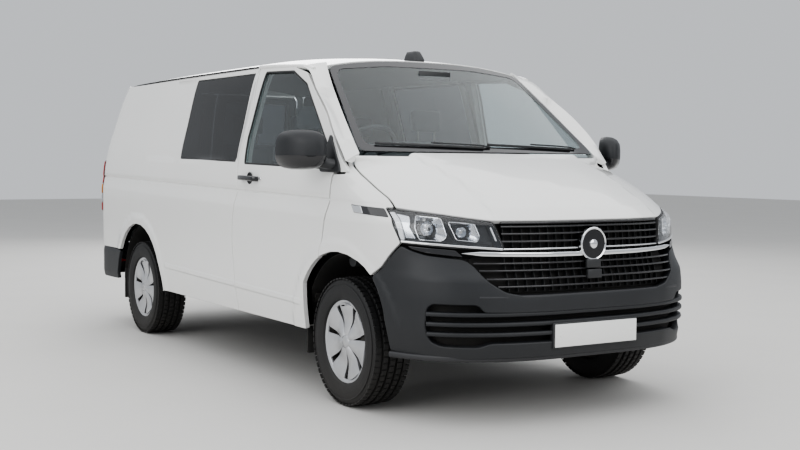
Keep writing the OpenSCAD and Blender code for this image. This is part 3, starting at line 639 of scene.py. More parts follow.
def panel(name, outline, surface, outward, material, body, holes=(), stands_for=(), cell=(0.03, 0.03),
          rim=0.003, gap=0.003, depth=0.018, corner=0.02, rows=(), lift=0.0, solid=0.0, step=0.015):
    """A pressed sheet; `lift` moves it along its normal and `solid` gives it a second face behind."""
    loops = [soften(outline, corner, step)] + [soften(h, corner, step) for h in holes]
    inner = []
    for k, loop in enumerate(loops):
        _, on_map = edge_direction(loop, surface, outward, k > 0)
        inner.append(loop - on_map * (gap + rim))
    low, high = inner[0].min(0), inner[0].max(0)
    us = np.arange(low[0] + cell[0] / 2, high[0], cell[0])
    vs = np.unique(np.concatenate([np.arange(low[1] + cell[1] / 2, high[1], cell[1]), np.array(rows, float)]))
    grid = np.array([(u, v) for v in vs for u in us])
    keep = inside(grid, inner[0]) & ~near(grid, inner[0], min(cell) * 0.35)
    for hole in inner[1:]:
        keep &= ~inside(grid, hole) & ~near(grid, hole, min(cell) * 0.35)
    points = np.concatenate(inner + [grid[keep]])
    edges, begin = [], 0
    for loop in inner:
        edges += [(begin + i, begin + (i + 1) % len(loop)) for i in range(len(loop))]
        begin += len(loop)
    flat, _, triangles, origin, _, _ = delaunay_2d_cdt([Vector(p) for p in points], edges, [], 0, 1e-7)
    flat = np.array([tuple(p) for p in flat])
    new_index = {}
    for i, sources in enumerate(origin):
        for source in sources:
            new_index[source] = i
    triangles = np.array([tuple(t) for t in triangles if len(t) == 3])
    centre = flat[triangles].mean(1)
    keep = inside(centre, inner[0])
    for hole in inner[1:]:
        keep &= ~inside(centre, hole)
    triangles = triangles[keep]
    place, normal, _, _ = on_surface(surface, flat, outward)
    place = place + normal * lift
    first, second, third = (place[triangles[:, k]] for k in range(3))
    facing = np.cross(second - first, third - first)
    turned_over = (facing * normal[triangles[:, 0]]).sum(1) < 0
    triangles[turned_over] = triangles[turned_over][:, ::-1]
    vertices, normals, faces = list(place), list(normal), [tuple(map(int, t)) for t in triangles]
    begin = 0
    for k, loop in enumerate(inner):
        ring = [new_index[begin + i] for i in range(len(loop))]
        begin += len(loop)
        off, _ = edge_direction(loop, surface, outward, k > 0)
        base, up = place[ring], normal[ring]
        levels = []
        for angle in (30, 60, 90):
            c, s = math.cos(math.radians(angle)), math.sin(math.radians(angle))
            levels.append((base + off * rim * s + up * rim * (c - 1), unit(up * c + off * s)))
        levels.append((base + off * rim - up * (rim + depth), off))
        previous = ring
        for spots, directions in levels:
            fresh = list(range(len(vertices), len(vertices) + len(ring)))
            vertices += list(spots)
            normals += list(directions)
            quad = [(previous[i], previous[(i + 1) % len(ring)], fresh[(i + 1) % len(ring)], fresh[i])
                    for i in range(len(ring))]
            a, b, c, _ = quad[0]
            facing = np.cross(vertices[b] - vertices[a], vertices[c] - vertices[a])
            if np.dot(facing, normals[a] + normals[c]) < 0:
                quad = [q[::-1] for q in quad]
            faces += quad
            previous = fresh
    if solid:
        shift = len(vertices)
        vertices += list(place - normal * solid)
        normals += list(-normal)
        faces += [tuple(int(i) + shift for i in t[::-1]) for t in triangles]
    piece = to_object(name, vertices, faces, material)
    piece.data.shade_smooth()
    piece.data.normals_split_custom_set_from_vertices([tuple(n) for n in normals])
    return attach(piece, body, stands_for)


print("panel builder ready")

# %% [markdown]
# ## The body's surface
#
# Three formulas describe the whole skin: the flank, the nose that wraps round from the centre line
# to the doors, and the roof. Each is built from a few smooth lines, the same ones a body drawing
# has: half width against height, nose profile, plan curve of the bumper and roof line.

# %% Section lines
half_width = curve([(0.30, 0.920), (0.35, 0.925), (0.55, 0.945), (0.95, 0.952), (0.99, 0.952), (1.085, 0.938),
                    (1.10, 0.940), (1.25, 0.925), (1.50, 0.866), (1.75, 0.80), (1.838, 0.765), (1.90, 0.735)])
nose_profile = curve([(0.30, NOSE - 0.03), (0.34, NOSE - 0.012), (0.45, NOSE), (0.60, NOSE),
                      (0.70, NOSE - 0.012),
                      (0.76, NOSE - 0.032), (0.87, NOSE - 0.040), (0.96, NOSE - 0.052), (0.985, NOSE - 0.064),
                      (1.024, 2.33), (1.098, 2.20), (1.188, 2.00), (1.256, 1.80), (1.312, 1.60)])
ridge = curve([(-2.20, 1.886), (-2.148, 1.892), (-1.898, 1.906), (-0.908, 1.914), (0.104, 1.912),
               (0.60, 1.888),
               (0.944, 1.850), (1.0, 1.842)])
tail_profile = curve([(0.30, TAIL), (1.08, TAIL), (1.31, TAIL + 0.030), (1.668, TAIL + 0.110),
                      (1.848, TAIL + 0.200), (1.90, TAIL + 0.262)])
SLANT = 0.0178
CREASE, SHOULDER = 1.0906, 0.9935


def plan_curve(points):
    """Plan line of the nose as drop and half width against the distance round it."""
    points = np.array(points, float)
    round_it = np.concatenate([[0], np.cumsum(np.linalg.norm(np.diff(points, axis=0), axis=1))])
    return curve(list(zip(round_it, points[:, 0]))), curve(list(zip(round_it, points[:, 1])))


upper_plan = plan_curve([(0, 0), (0.0081, 0.25), (0.061, 0.489), (0.137, 0.64), (0.207, 0.735), (0.277, 0.81),
                         (0.345, 0.865), (0.40, 0.895), (0.46, 0.92), (0.52, 0.938), (0.60, 0.948),
                         (0.75, 0.952), (1.10, 0.952)])
lower_plan = plan_curve([(0, 0), (0.004, 0.25), (0.041, 0.489), (0.10, 0.64), (0.16, 0.735), (0.24, 0.81),
                         (0.33, 0.865), (0.43, 0.905), (0.53, 0.93), (0.68, 0.948), (0.90, 0.952),
                         (1.10, 0.952)])
scuttle_plan = plan_curve([(0, 0), (0.0096, 0.25), (0.037, 0.49), (0.083, 0.735), (0.105, 0.81),
                           (0.14, 0.865),
                           (0.20, 0.905), (0.30, 0.93), (0.60, 0.948), (1.10, 0.952)])
flank_plan = curve([(0.0, 0.0), (0.345, 0.865), (0.40, 0.895), (0.46, 0.92), (0.52, 0.938), (0.60, 0.948),
                    (0.75, 0.952), (1.0, 0.952), (6.0, 0.952)])
tail_plan = curve([(0, 0.0), (0.0004, 0.5), (0.010, 0.72), (0.025, 0.80), (0.045, 0.86), (0.075, 0.91),
                   (0.115, 0.94), (0.17, 0.951), (0.25, 0.952), (6.0, 0.952)])
tail_drop = curve([(0, 0), (0.5, 0.0004), (0.72, 0.010), (0.80, 0.025), (0.86, 0.045), (0.91, 0.075),
                   (0.94, 0.115), (0.951, 0.17), (0.96, 0.23)])


def flare(x, z):
    """Raised lip round the wheel arches."""
    raised = 0
    for axle in (AXLE_FRONT, AXLE_REAR):
        away = np.hypot(x - axle, z - TYRE_R) - ARCH_R
        raised = raised + 0.009 * (1 - ease((away - 0.045) / 0.04))
    return raised


def nose(s, z):
    """Point of the nose at distance s round from the centre line (left positive) and height z."""
    a = np.abs(s)
    low = ease((z - 0.70) / 0.14)
    high = ease((z - 1.24) / 0.072)
    parts = []
    for k in (0, 1):
        side = lower_plan[k](a) * (1 - low) + upper_plan[k](a) * low
        parts.append(side * (1 - high) + scuttle_plan[k](a) * high)
    x = nose_profile(z) - parts[0]
    y = parts[1] * half_width(z + SLANT * x) / HALF
    outer = ease((y - 0.86) / 0.06)
    return np.stack([x, np.sign(s) * (y + outer * flare(x, z)), z + 0 * x], 1)


def flank(side):
    """The body side as a function of x and of height measured along the slanting waist."""

    def surface(x, v):
        z = v - SLANT * x
        ahead = nose_profile(np.minimum(z, 1.2)) - x
        behind = x - tail_profile(z)
        y = half_width(v) * flank_plan(ahead) * tail_plan(behind) / HALF**2
        y = y - 0.0065 * np.exp(-(((v - CREASE) / 0.0055) ** 2))
        swage = ease((v - 0.497) / 0.012) * (1 - ease((v - 0.530) / 0.012))
        y = y + 0.006 * swage * ease((x + 0.96) / 0.05) * (1 - ease((x - 1.10) / 0.05))
        pressed = ease((x + 1.728) / 0.012) * (1 - ease((x - 0.225) / 0.012))
        pressed = pressed * ease((z - 1.262) / 0.012) * (1 - ease((z - 1.800) / 0.012))
        y = y + flare(x, z) - 0.006 * pressed
        return np.stack([x, side * y, z], 1)

    return surface


def rows_of_flank():
    near_crease = [CREASE + k * 0.0025 for k in range(-4, 5)]
    near_shoulder = [SHOULDER + k * 0.006 for k in range(-3, 4)]
    near_swage = [0.497 + k * 0.005 for k in range(10)]
    return near_crease + near_shoulder + near_swage


def roof_height(x, y):
    return ridge(x) - 0.076 * (np.abs(y) / 0.765) ** 2.6


def roof_surface(x, y):
    return np.stack([x, y, roof_height(x, y)], 1)


def screen_surface(y, z):
    return np.stack([1.6 - (z - 1.312) * 1.303 - 0.1067 * (y / 0.805) ** 2, y, z], 1)


def tail_surface(y, z):
    wide = np.abs(y) * HALF / half_width(z + SLANT * TAIL)
    return np.stack([tail_profile(z) + tail_drop(wide), y, z], 1)


def slanted(points):
    """Side-view points (x, z) as map points of the flank."""
    return [(x, z + SLANT * x) for x, z in points]


def round_to(x, z):
    """Distance round the nose where its surface reaches x at height z."""
    s = np.linspace(0, 1.9, 1200)
    return float(np.interp(-x, -nose(s, np.full_like(s, z))[:, 0], s))


def on_side(side, points):
    return [(side * s, z) for s, z in points]


print("widest point", round(float(half_width(0.97)), 3), "roof at", round(float(ridge(-0.9)), 3))

# %% [markdown]
# ## Body sides
#
# The side panel runs from the front door's shut line to the rear corner. A shallow pressing holds
# the privacy glass and, behind it, the blanked window. On the left the same sheet is split into a
# sliding door and a rear quarter.

# %% Side panels
SILL = 0.352
DOOR_BACK = [(0.235, 1.827), (0.283, 1.60), (0.287, 1.451), (0.246, 1.220), (0.271, 1.086), (0.220, 0.901),
             (0.216, 0.758), (0.244, 0.537), (0.265, SILL)]


def arch_points(axle, radius, start, stop, count=14):
    return [(axle + radius * math.cos(math.radians(a)), TYRE_R + radius * math.sin(math.radians(a)))
            for a in np.linspace(start, stop, count)]


REAR_EDGE = [(TAIL + 0.045, 0.585), (TAIL + 0.045, 1.05), (TAIL + 0.068, 1.25), (TAIL + 0.125, 1.52),
             (TAIL + 0.20, 1.70), (TAIL + 0.29, 1.822)]
REAR_ARCH = arch_points(AXLE_REAR, ARCH_R, 2, 147)
GLASS_HOLE = [(-0.710, 1.275), (-0.724, 1.796), (0.180, 1.794), (0.205, 1.256)]
SLIDER_BACK = [(-0.830, SILL), (-0.830, 1.822)]
full_side = DOOR_BACK + [(AXLE_REAR + ARCH_R, SILL)] + REAR_ARCH + REAR_EDGE
quarter = SLIDER_BACK[::-1] + [(AXLE_REAR + ARCH_R, SILL)] + REAR_ARCH + REAR_EDGE
slider = DOOR_BACK + SLIDER_BACK


def side_panel(name, outline, side, holes, stands_for):
    return panel(name, slanted(outline), flank(side), (0, side, 0), WHITE, "body",
                 [slanted(h) for h in holes], stands_for, corner=0.008, rows=rows_of_flank(), depth=0.02)


side_panel("side_panel_right", full_side, RIGHT, [GLASS_HOLE], ["side_r"])
side_panel("quarter_panel_left", quarter, LEFT, [], ["side_l"])
side_panel("sliding_door_skin", slider, LEFT, [GLASS_HOLE], ["slide_door"])


def lining(name, outline, side, body, holes=(), lift=-0.055, material=PALE_TRIM):
    """Trim board on the inside of a side or a door."""
    return panel(name, slanted(outline), flank(side), (0, side, 0), material, body,
                 [slanted(h) for h in holes], corner=0.01, cell=(0.06, 0.06), gap=0.012, depth=-0.035,
                 lift=lift)


lining("lining_right", full_side, RIGHT, "body", [GLASS_HOLE])
lining("lining_left", quarter, LEFT, "body")
lining("slider_lining", slider, LEFT, "body", [GLASS_HOLE])
say_new("body sides")

# %% Privacy glass and its seal


def seal(name, outline, surface, outward, body, width=0.012, thick=0.008, lift=-0.006, material=SEAL,
         corner=0.02, step=0.02):
    loop = soften(outline, corner, step)
    place, normal, _, _ = on_surface(surface, loop, outward)
    centre = place + normal * lift
    ring = []
    ahead = unit(np.roll(centre, -1, 0) - np.roll(centre, 1, 0))
    across = unit(np.cross(ahead, normal))
    for point, side, top in zip(centre, across, normal):
        ring.append([point + side * a + top * b for a, b in soft_rectangle(width, thick, 0.002, 2)])
    return make(name, [loft(ring + [ring[0]], caps=False)], material, body)


for side, word in SIDES:
    panel(f"side_glass_{word}", slanted(GLASS_HOLE), flank(side), (0, side, 0), PRIVACY, "body",
          stands_for=["side_glass"], gap=0.002, rim=0.002, depth=0.003, lift=-0.004, solid=0.005,
          cell=(0.08, 0.08))
    seal(f"side_glass_seal_{word}", slanted(GLASS_HOLE), flank(side), (0, side, 0), "body", width=0.014,
         lift=-0.008)
say_new("side glass")

# %% [markdown]
# ## Roof
#
# One crowned sheet. Where it meets the sides the joint is covered by a narrow rubber strip in a
# channel, which also hides the fixing points for roof bars.

# %% Roof skin and channel strips


def screen_top_x(y):
    z = np.full_like(np.asarray(y, float), 1.83)
    for _ in range(12):
        x = screen_surface(y, z)[:, 0]
        z = roof_height(x, y)
    return x


ROOF_EDGE = 0.752
front_y = np.linspace(0.66, -0.66, 15)
roof_front = [(float(x) - 0.010, float(y)) for x, y in zip(screen_top_x(front_y), front_y)]
roof_outline = [(TAIL + 0.262, ROOF_EDGE - 0.05), (TAIL + 0.262, -ROOF_EDGE + 0.05),
                (TAIL + 0.30, -ROOF_EDGE),
                (0.60, -ROOF_EDGE), (0.80, -0.715)] + roof_front[::-1] + [(0.80, 0.715), (0.60, ROOF_EDGE),
                                                                         (TAIL + 0.30, ROOF_EDGE)]
panel("roof_skin", roof_outline, roof_surface, (0, 0, 1), WHITE, "body", stands_for=["roof"],
      corner=0.02, cell=(0.05, 0.035), gap=0.0, depth=0.02)
panel("headlining", roof_outline, roof_surface, (0, 0, 1), PALE_TRIM, "body",
      cell=(0.10, 0.08), gap=0.03, lift=-0.036, depth=-0.01)
for side, word in SIDES:
    xs = np.linspace(TAIL + 0.29, 0.60, 40)
    path = [(x, side * 0.762, float(roof_height(x, 0.762)) - 0.004) for x in xs]
    make(f"roof_channel_{word}", [sweep(path, soft_rectangle(0.010, 0.010, 0.003))], SEAL, "body")
say_new(f"roof, which runs to {roof_front[7][0]:.3f}")

# %% [markdown]
# ## Front doors
#
# A van door is a deep pressing with its window opening cut in it. The skin, the inner board, the
# pane, the rubber round it, the handle and the mirror all ride on the door's own body, so they
# turn together on the hinge.

# %% Door skins, boards and panes
DOOR_TOP = [(0.241, 1.822), (0.649, 1.818), (0.892, 1.764), (1.239, 1.521), (1.397, 1.373), (1.502, 1.256)]
DOOR_FRONT = [(1.540, 1.214), (1.540, 1.206), (1.431, 1.204), (1.431, 1.065), (1.394, 0.956), (1.347, 0.752)]
door_arch = arch_points(AXLE_FRONT, 0.465, 116, 144, 8) + [(AXLE_FRONT - 0.376, SILL)]
door_outline = DOOR_TOP + DOOR_FRONT + door_arch + DOOR_BACK[::-1][:-1]
DOOR_WINDOW = [(0.336, 1.244), (0.312, 1.40), (0.340, 1.795), (0.712, 1.780), (0.930, 1.694), (1.484, 1.222)]
MIRROR_FOOT = [(1.305, 1.207), (1.492, 1.203), (1.474, 1.252), (1.362, 1.396), (1.343, 1.402),
               (1.332, 1.275), (1.305, 1.250)]

for side, word in DOORS:
    body = f"front_door_{word}"
    surface, out = flank(side), (0, side, 0)
    panel(f"door_skin_{word}", slanted(door_outline), surface, out, WHITE, body,
          [slanted(DOOR_WINDOW)], [f"door_{word}"], corner=0.012, rows=rows_of_flank(), depth=0.022)
    lining(f"door_board_{word}", door_outline, side, body, [DOOR_WINDOW])
    panel(f"door_pane_{word}", slanted(DOOR_WINDOW), surface, out, WINDOW, body,
          stands_for=[f"door_glass_{word}"], gap=0.001, rim=0.001, depth=0.003, lift=-0.011, solid=0.004,
          cell=(0.07, 0.07))
    seal(f"door_window_seal_{word}", slanted(DOOR_WINDOW), surface, out, body, width=0.016, lift=-0.006)
    panel(f"mirror_foot_{word}", slanted(MIRROR_FOOT), surface, out, SATIN, body, lift=0.010,
          depth=0.020, rim=0.005, gap=0.0, corner=0.02, cell=(0.03, 0.03), stands_for=[f"mirror_{word}"])
say_new("front doors")

# %% [markdown]
# The door mirror is a deep rounded shell. Its upper half is grained and its lower half smoother,
# with a thin joint between them, and the glass faces backwards inside a rim.

# %% Door mirrors and handles


def super_ring(centre, half_y, half_z, x, power=3.2, steps=28, tilt=0.0):
    ring = []
    for i in range(steps):
        a = 2 * math.pi * i / steps
        c, s = math.cos(a), math.sin(a)
        y = half_y * math.copysign(abs(c) ** (2 / power), c)
        z = half_z * math.copysign(abs(s) ** (2 / power), s)
        ring.append((x + tilt * y, centre[0] + y, centre[1] + z))
    return ring


SWEPT = 0.80
MIRROR_Y, MIRROR_Z = 1.052, 1.322


def mirror_shell(side, grow=1.0):
    centre = (side * MIRROR_Y, MIRROR_Z)
    stages = [(1.440, 0.30, 0.36), (1.431, 0.56, 0.60), (1.408, 0.80, 0.82), (1.372, 0.95, 0.95),
              (1.325, 1.0, 1.0), (1.285, 0.98, 0.98), (1.279, 0.90, 0.90), (1.289, 0.86, 0.86)]
    return [super_ring(centre, 0.094 * a * grow, 0.104 * b * grow, x, tilt=-side * SWEPT)
            for x, a, b in stages]


HANDLE_FACE = float(half_width(1.17))


def grip(side, points):
    """A handle through points given as x, distance off the door's face, and z."""
    path = [(x, side * (HANDLE_FACE + off), z) for x, off, z in points]
    return sweep(smooth_path(path, 26), soft_rectangle(0.016, 0.030, 0.007))


for side, word in DOORS:
    body = f"front_door_{word}"
    shell = loft(mirror_shell(side))
    make(f"mirror_shell_{word}", [shell], GRAINED, body, sharp=60)
    lower = [[(x, y, min(z, 1.292)) for x, y, z in ring] for ring in mirror_shell(side, 1.012)]
    make(f"mirror_lower_{word}", [loft(lower)], GLOSS, body, sharp=60)
    glass = [super_ring((side * MIRROR_Y, MIRROR_Z), half_y, half_z, x, tilt=-side * SWEPT)
             for half_y, half_z, x in ((0.080, 0.089, 1.2875), (0.078, 0.087, 1.2860))]
    make(f"mirror_glass_{word}", [loft(glass)], CHROME, body)
    arm = [(1.430, side * 0.900, 1.246), (1.425, side * 0.945, 1.250), (1.400, side * 0.995, 1.262)]
    make(f"mirror_arm_{word}", [sweep(smooth_path(arm, 8), circle(0.024, 16, 1.2))], SATIN, body)
    stages = [(0.335, 0.004, 1.160), (0.35, 0.030, 1.161), (0.44, 0.036, 1.160), (0.54, 0.030, 1.157),
              (0.560, 0.004, 1.156)]
    make(f"door_handle_{word}", [grip(side, stages)], GLOSS, body)
    make(f"door_handle_cup_{word}", [turned([(0.001, 0.0), (0.001, 0.030), (0.004, 0.034), (0.0, 0.037)],
         (0.445, side * (HANDLE_FACE + 0.002), 1.159), (0, side, 0), 40)], SATIN, body)
    make(f"door_lock_{word}", [turned([(0.004, 0.0), (0.005, 0.008), (0.0, 0.009)],
         (0.590, side * (HANDLE_FACE + 0.002), 1.158), (0, side, 0), 24)], CHROME, body)
stages = [(0.13, 0.004, 1.165), (0.115, 0.034, 1.166), (0.02, 0.036, 1.168), (-0.075, 0.034, 1.169),
          (-0.09, 0.004, 1.170)]
make("slider_handle", [grip(LEFT, stages)], GLOSS, "body")
rail = [(x, float(half_width(1.10 + SLANT * x)) + 0.003, 1.135) for x in np.linspace(-2.20, -0.86, 20)]
make("slider_rail", [sweep(rail, soft_rectangle(0.008, 0.034, 0.003))], SATIN, "body")
say_new("mirrors and handles")

# %% [markdown]
# ## Bonnet, wings and windscreen
#
# The bonnet and the wings are cut from one nose surface, so the light runs across their joints.
# Two creases rise along the bonnet from the lamps towards the windscreen.

# %% Bonnet and wings
bonnet_cut = [(0.986, 1.040), (0.976, 1.060), (0.971, 1.083), (0.984, 1.116), (0.990, 1.140), (0.993, 1.200),
              (0.970, 1.238), (0.908, 1.296)]
lamp_top = [(0.546, 0.984), (0.774, 1.015)]
half_bonnet = [(0.0, 0.986)] + lamp_top + bonnet_cut + [(0.0, 1.306)]
crease_line = curve([(0.95, 0.535), (1.0, 0.534), (1.10, 0.516), (1.184, 0.541), (1.273, 0.574),
                     (1.32, 0.60)])


def bonnet_surface(s, z):
    raised = 1 - ease((np.abs(s) - crease_line(z) + 0.014) / 0.028)
    place = nose(s, z)
    place[:, 2] += 0.016 * raised * ease((z - 0.985) / 0.05)
    place[:, 0] += 0.004 * raised * ease((z - 0.985) / 0.05)
    return place


whole = half_bonnet[1:-1] + [(-s, z) for s, z in half_bonnet[1:-1][::-1]]
panel("bonnet_skin", whole, bonnet_surface, (1, 0, 0.6), WHITE, "bonnet",
      stands_for=["bonnet"],
      corner=0.03, cell=(0.022, 0.008), depth=0.022, rim=0.004, gap=0.004)
panel("bonnet_inner", whole, nose, (1, 0, 0.6), SATIN, "bonnet", corner=0.03,
      cell=(0.08, 0.02), gap=0.03, lift=-0.024, depth=-0.004)

arch_lip = [(1.347, 0.760), (1.40, 0.776), (1.47, 0.793), (1.556, 0.799), (1.66, 0.790), (1.76, 0.765),
            (1.81, 0.742),
            (1.862, 0.703)]
wing_back = [(1.437, 1.198), (1.437, 1.13), (1.437, 1.065), (1.425, 1.03), (1.412, 0.992), (1.400, 0.956),
             (1.383, 0.890), (1.365, 0.824)]
wing_side = [(round_to(x, z), z) for x, z in wing_back + arch_lip]
wing_front = [(1.198, 0.728), (1.142, 0.754), (1.098, 0.790), (1.004, 0.874), (1.044, 0.964), (1.038, 1.040),
              (0.988, 1.040), (0.978, 1.060), (0.973, 1.083), (0.986, 1.116), (0.992, 1.140), (0.995, 1.200),
              (0.972, 1.240), (0.900, 1.306), (0.972, 1.310), (1.030, 1.262), (1.066, 1.232), (1.085, 1.200)]
wing_shape = wing_side + wing_front
for side, word in SIDES:
    outline = on_side(side, wing_shape)
    panel(f"wing_{word}", outline, nose, (0.3, side, 0.2), WHITE, "body", stands_for=["wings"],
          corner=0.010, cell=(0.022, 0.018), depth=0.02, gap=0.002,
          rows=[CREASE - SLANT * 1.7 + k * 0.003 for k in range(-3, 4)])
    tip = [(1.278, 1.048), (1.046, 1.035), (1.056, 0.994), (1.304, 1.008)]
    panel(f"side_strip_{word}", on_side(side, tip), nose, (0.3, side, 0.2), GLOSS, "body",
          lift=0.003, gap=0.0, rim=0.002, depth=0.006, corner=0.008, cell=(0.03, 0.015))
    blinker = [(1.274, 1.045), (1.198, 1.041), (1.220, 1.004), (1.298, 1.010)]
    panel(f"side_repeater_{word}", on_side(side, blinker), nose, (0.3, side, 0.2), CHROME, "body",
          lift=0.006, gap=0.0, rim=0.002, depth=0.004, corner=0.006, cell=(0.02, 0.01))
say_new("bonnet and wings")

# %% Windscreen with its black border
screen_foot = [(-0.80, 1.316), (-0.50, 1.314), (0.50, 1.314), (0.80, 1.316)]
screen_head = [(float(y), float(roof_height(x + 0.012, y)) - 0.004)
               for x, y in zip(screen_top_x(front_y), front_y)]
screen_outline = screen_foot + screen_head
panel("windscreen_glass", screen_outline, screen_surface, (1, 0, 1), WINDOW, "body",
      stands_for=["windscreen"], corner=0.03, cell=(0.06, 0.03), gap=0.002, rim=0.002, depth=0.004,
      solid=0.005)
clear = [(-0.742, 1.352), (-0.45, 1.346), (0.45, 1.346), (0.742, 1.352), (0.625, 1.782), (0.3, 1.812),
         (-0.3, 1.812),
         (-0.625, 1.782)]
panel("windscreen_border", screen_outline, screen_surface, (1, 0, 1), GLOSS, "body",
      [clear], corner=0.05, cell=(0.03, 0.02), gap=0.003, rim=0.001, depth=0.001, lift=0.0015)
say_new("windscreen")

# %% [markdown]
# The windscreen pillar is a rounded strip that joins the glass to the door opening. It is lofted
# between those two edges, with a fuller middle.

# %% Windscreen pillars


def pillar(side):
    glass_edge = np.array([(1.500, 0.800, 1.306), (1.345, 0.772, 1.430), (1.185, 0.741, 1.561),
                           (1.025, 0.704, 1.692), (0.900, 0.668, 1.796), (0.868, 0.655, 1.826)])
    door_edge = []
    for x, z in ((1.510, 1.262), (1.403, 1.382), (1.246, 1.529), (1.068, 1.652), (0.900, 1.771),
                 (0.80, 1.800)):
        y = flank(1)(np.array([x]), np.array([z + SLANT * x]))[0, 1]
        door_edge.append((x, y, z + 0.004))
    a, b = smooth_path(glass_edge, 30), smooth_path(door_edge, 30)
    along = unit(np.gradient(a, axis=0))
    t = np.linspace(0, 1, len(a))[:, None]
    swell = 0.36 * (0.10 + 0.90 * ease(t / 0.20)) * (0.10 + 0.90 * ease((1 - t) / 0.45))
    bulge = unit(np.cross(along, b - a)) * np.linalg.norm(b - a, axis=1)[:, None] * swell
    bulge *= np.sign(bulge[:, 1:2])
    middle_line = (a + b) / 2 + bulge
    rings = []
    for p, m, q in zip(a, middle_line, b):
        arc = [(1 - t) ** 2 * p + 2 * t * (1 - t) * m + t * t * q for t in np.linspace(0, 1, 9)]
        deep = [q + (0, -0.035, -0.012), p + (-0.02, -0.002, -0.030)]
        rings.append(np.array(arc + deep) * (1, side, 1))
    return loft(rings)


for side, word in SIDES:
    make(f"screen_pillar_{word}", [pillar(side)], WHITE, "body", sharp=50)
    cant = [(x, side * y, z) for x, y, z in ((0.90, 0.752, 1.779), (0.78, 0.762, 1.802), (0.62, 0.764, 1.812),
                                            (0.40, 0.764, 1.824), (0.23, 0.765, 1.829))]
    make(f"cant_rail_{word}", [sweep(smooth_path(cant, 20), circle(0.013, 12, 1.0))], WHITE, "body")
say_new("pillars")

# %% [markdown]
# ## Front bumper, grille and lamps
#
# The bumper is one large grained moulding that wraps to the arches. The grille is a stack of thin
# rails in front of a dark mesh, with one bright bar under the lamps and a plain round badge.

# %% Bumper moulding


def nose_in(depth):
    """The nose surface moved straight back."""

    def surface(s, z):
        return nose(s, z) - np.array([depth, 0, 0])

    return surface


LOWER_GRILLE = [(0.690, 0.806), (0.646, 0.772), (0.600, 0.706), (0.520, 0.655), (0.420, 0.636)]
under_lamp = [(0.872, 0.824), (0.948, 0.843), (1.004, 0.866)]
bumper_edge = [(1.098, 0.785), (1.142, 0.749), (1.198, 0.723), (1.238, 0.697), (1.194, 0.622), (1.166, 0.550),
               (1.146, 0.442), (1.128, 0.345)]
half_bumper = under_lamp + bumper_edge + [(0.95, 0.318), (0.55, 0.330)]
bumper_outline = (LOWER_GRILLE[::-1] + half_bumper
                  + on_side(-1, half_bumper[::-1]) + on_side(-1, LOWER_GRILLE))
intake = [(0.42, 0.548), (0.63, 0.552), (0.66, 0.588), (0.88, 0.588), (0.905, 0.57), (0.915, 0.470),
          (0.895, 0.415),
          (0.84, 0.395), (0.66, 0.392), (0.60, 0.412)]
whole_intake = intake + on_side(-1, intake[::-1])
panel("bumper_moulding", bumper_outline, nose, (1, 0, 0), GRAINED, "body", [whole_intake],
      ["front_bumper"], corner=0.022, cell=(0.028, 0.022), depth=0.03, rim=0.008, gap=0.003)
panel("bumper_back", [(1.00, 0.36), (1.00, 0.70), (-1.00, 0.70), (-1.00, 0.36)], nose_in(0.075),
      (1, 0, 0), LINER,
      "body", cell=(0.05, 0.05), depth=0.005, stands_for=["grille"])


def rail_round(name, reach, height, section, material, back=0.012, body="body", lift=0.0, taper=0.0,
               steps=60):
    """A rail that follows the nose from one side to the other at one height."""
    s = np.linspace(-reach, reach, steps)
    rise = height + lift * (np.abs(s) / reach) ** 2 if lift else np.full_like(s, height)
    place = nose(s, rise) - np.array([back, 0, 0])
    rings = []
    path, across, top = frames_along(place, (0, 0, 1))
    for k, p in enumerate(path):
        end = min(1.0, (reach - abs(s[k])) / taper + 0.12) if taper else 1.0
        rings.append([p + across[k] * a + top[k] * b * end for a, b in section])
    return make(name, [loft(rings)], material, body)


for i, height in enumerate((0.545, 0.498, 0.450)):
    rail_round(f"intake_rib_{i}", 0.885, height, soft_rectangle(0.052, 0.022, 0.008), GRAINED,
               0.030)
rail_round("bumper_lip", 1.085, 0.332, soft_rectangle(0.060, 0.030, 0.010), LIP, 0.036)
rail_round("bumper_ledge", 0.640, 0.626, soft_rectangle(0.050, 0.020, 0.008), LIP, 0.026)
say_new("front bumper")

# %% Grille


def grille_reach(height):
    return float(np.interp(height, [0.636, 0.655, 0.706, 0.800], [0.42, 0.52, 0.60, 0.655])) - 0.005


for i, height in enumerate((0.676, 0.712, 0.750, 0.784)):
    rail_round(f"lower_rail_{i}", grille_reach(height), height, soft_rectangle(0.030, 0.010, 0.004), GLOSS,
               0.024)
for i, height in enumerate((0.888, 0.924, 0.958)):
    rail_round(f"upper_rail_{i}", 0.502, height, soft_rectangle(0.030, 0.010, 0.004), GLOSS,
               0.022)
rail_round("bright_bar", 0.700, 0.822, soft_rectangle(0.022, 0.024, 0.006), CHROME, 0.010,
           lift=0.010, taper=0.10)
rail_round("bright_line", 0.502, 0.852, soft_rectangle(0.016, 0.008, 0.003), CHROME, 0.014)
rail_round("grille_header", 0.50, 0.976, soft_rectangle(0.040, 0.010, 0.004), GLOSS, 0.022)


def upright(s, low, high, back):
    z = np.linspace(low, high, 8)
    place = nose(np.full_like(z, s), z) - np.array([back, 0, 0])
    return sweep(place, soft_rectangle(0.004, 0.022, 0.001, 1), up=(1, 0, 0))


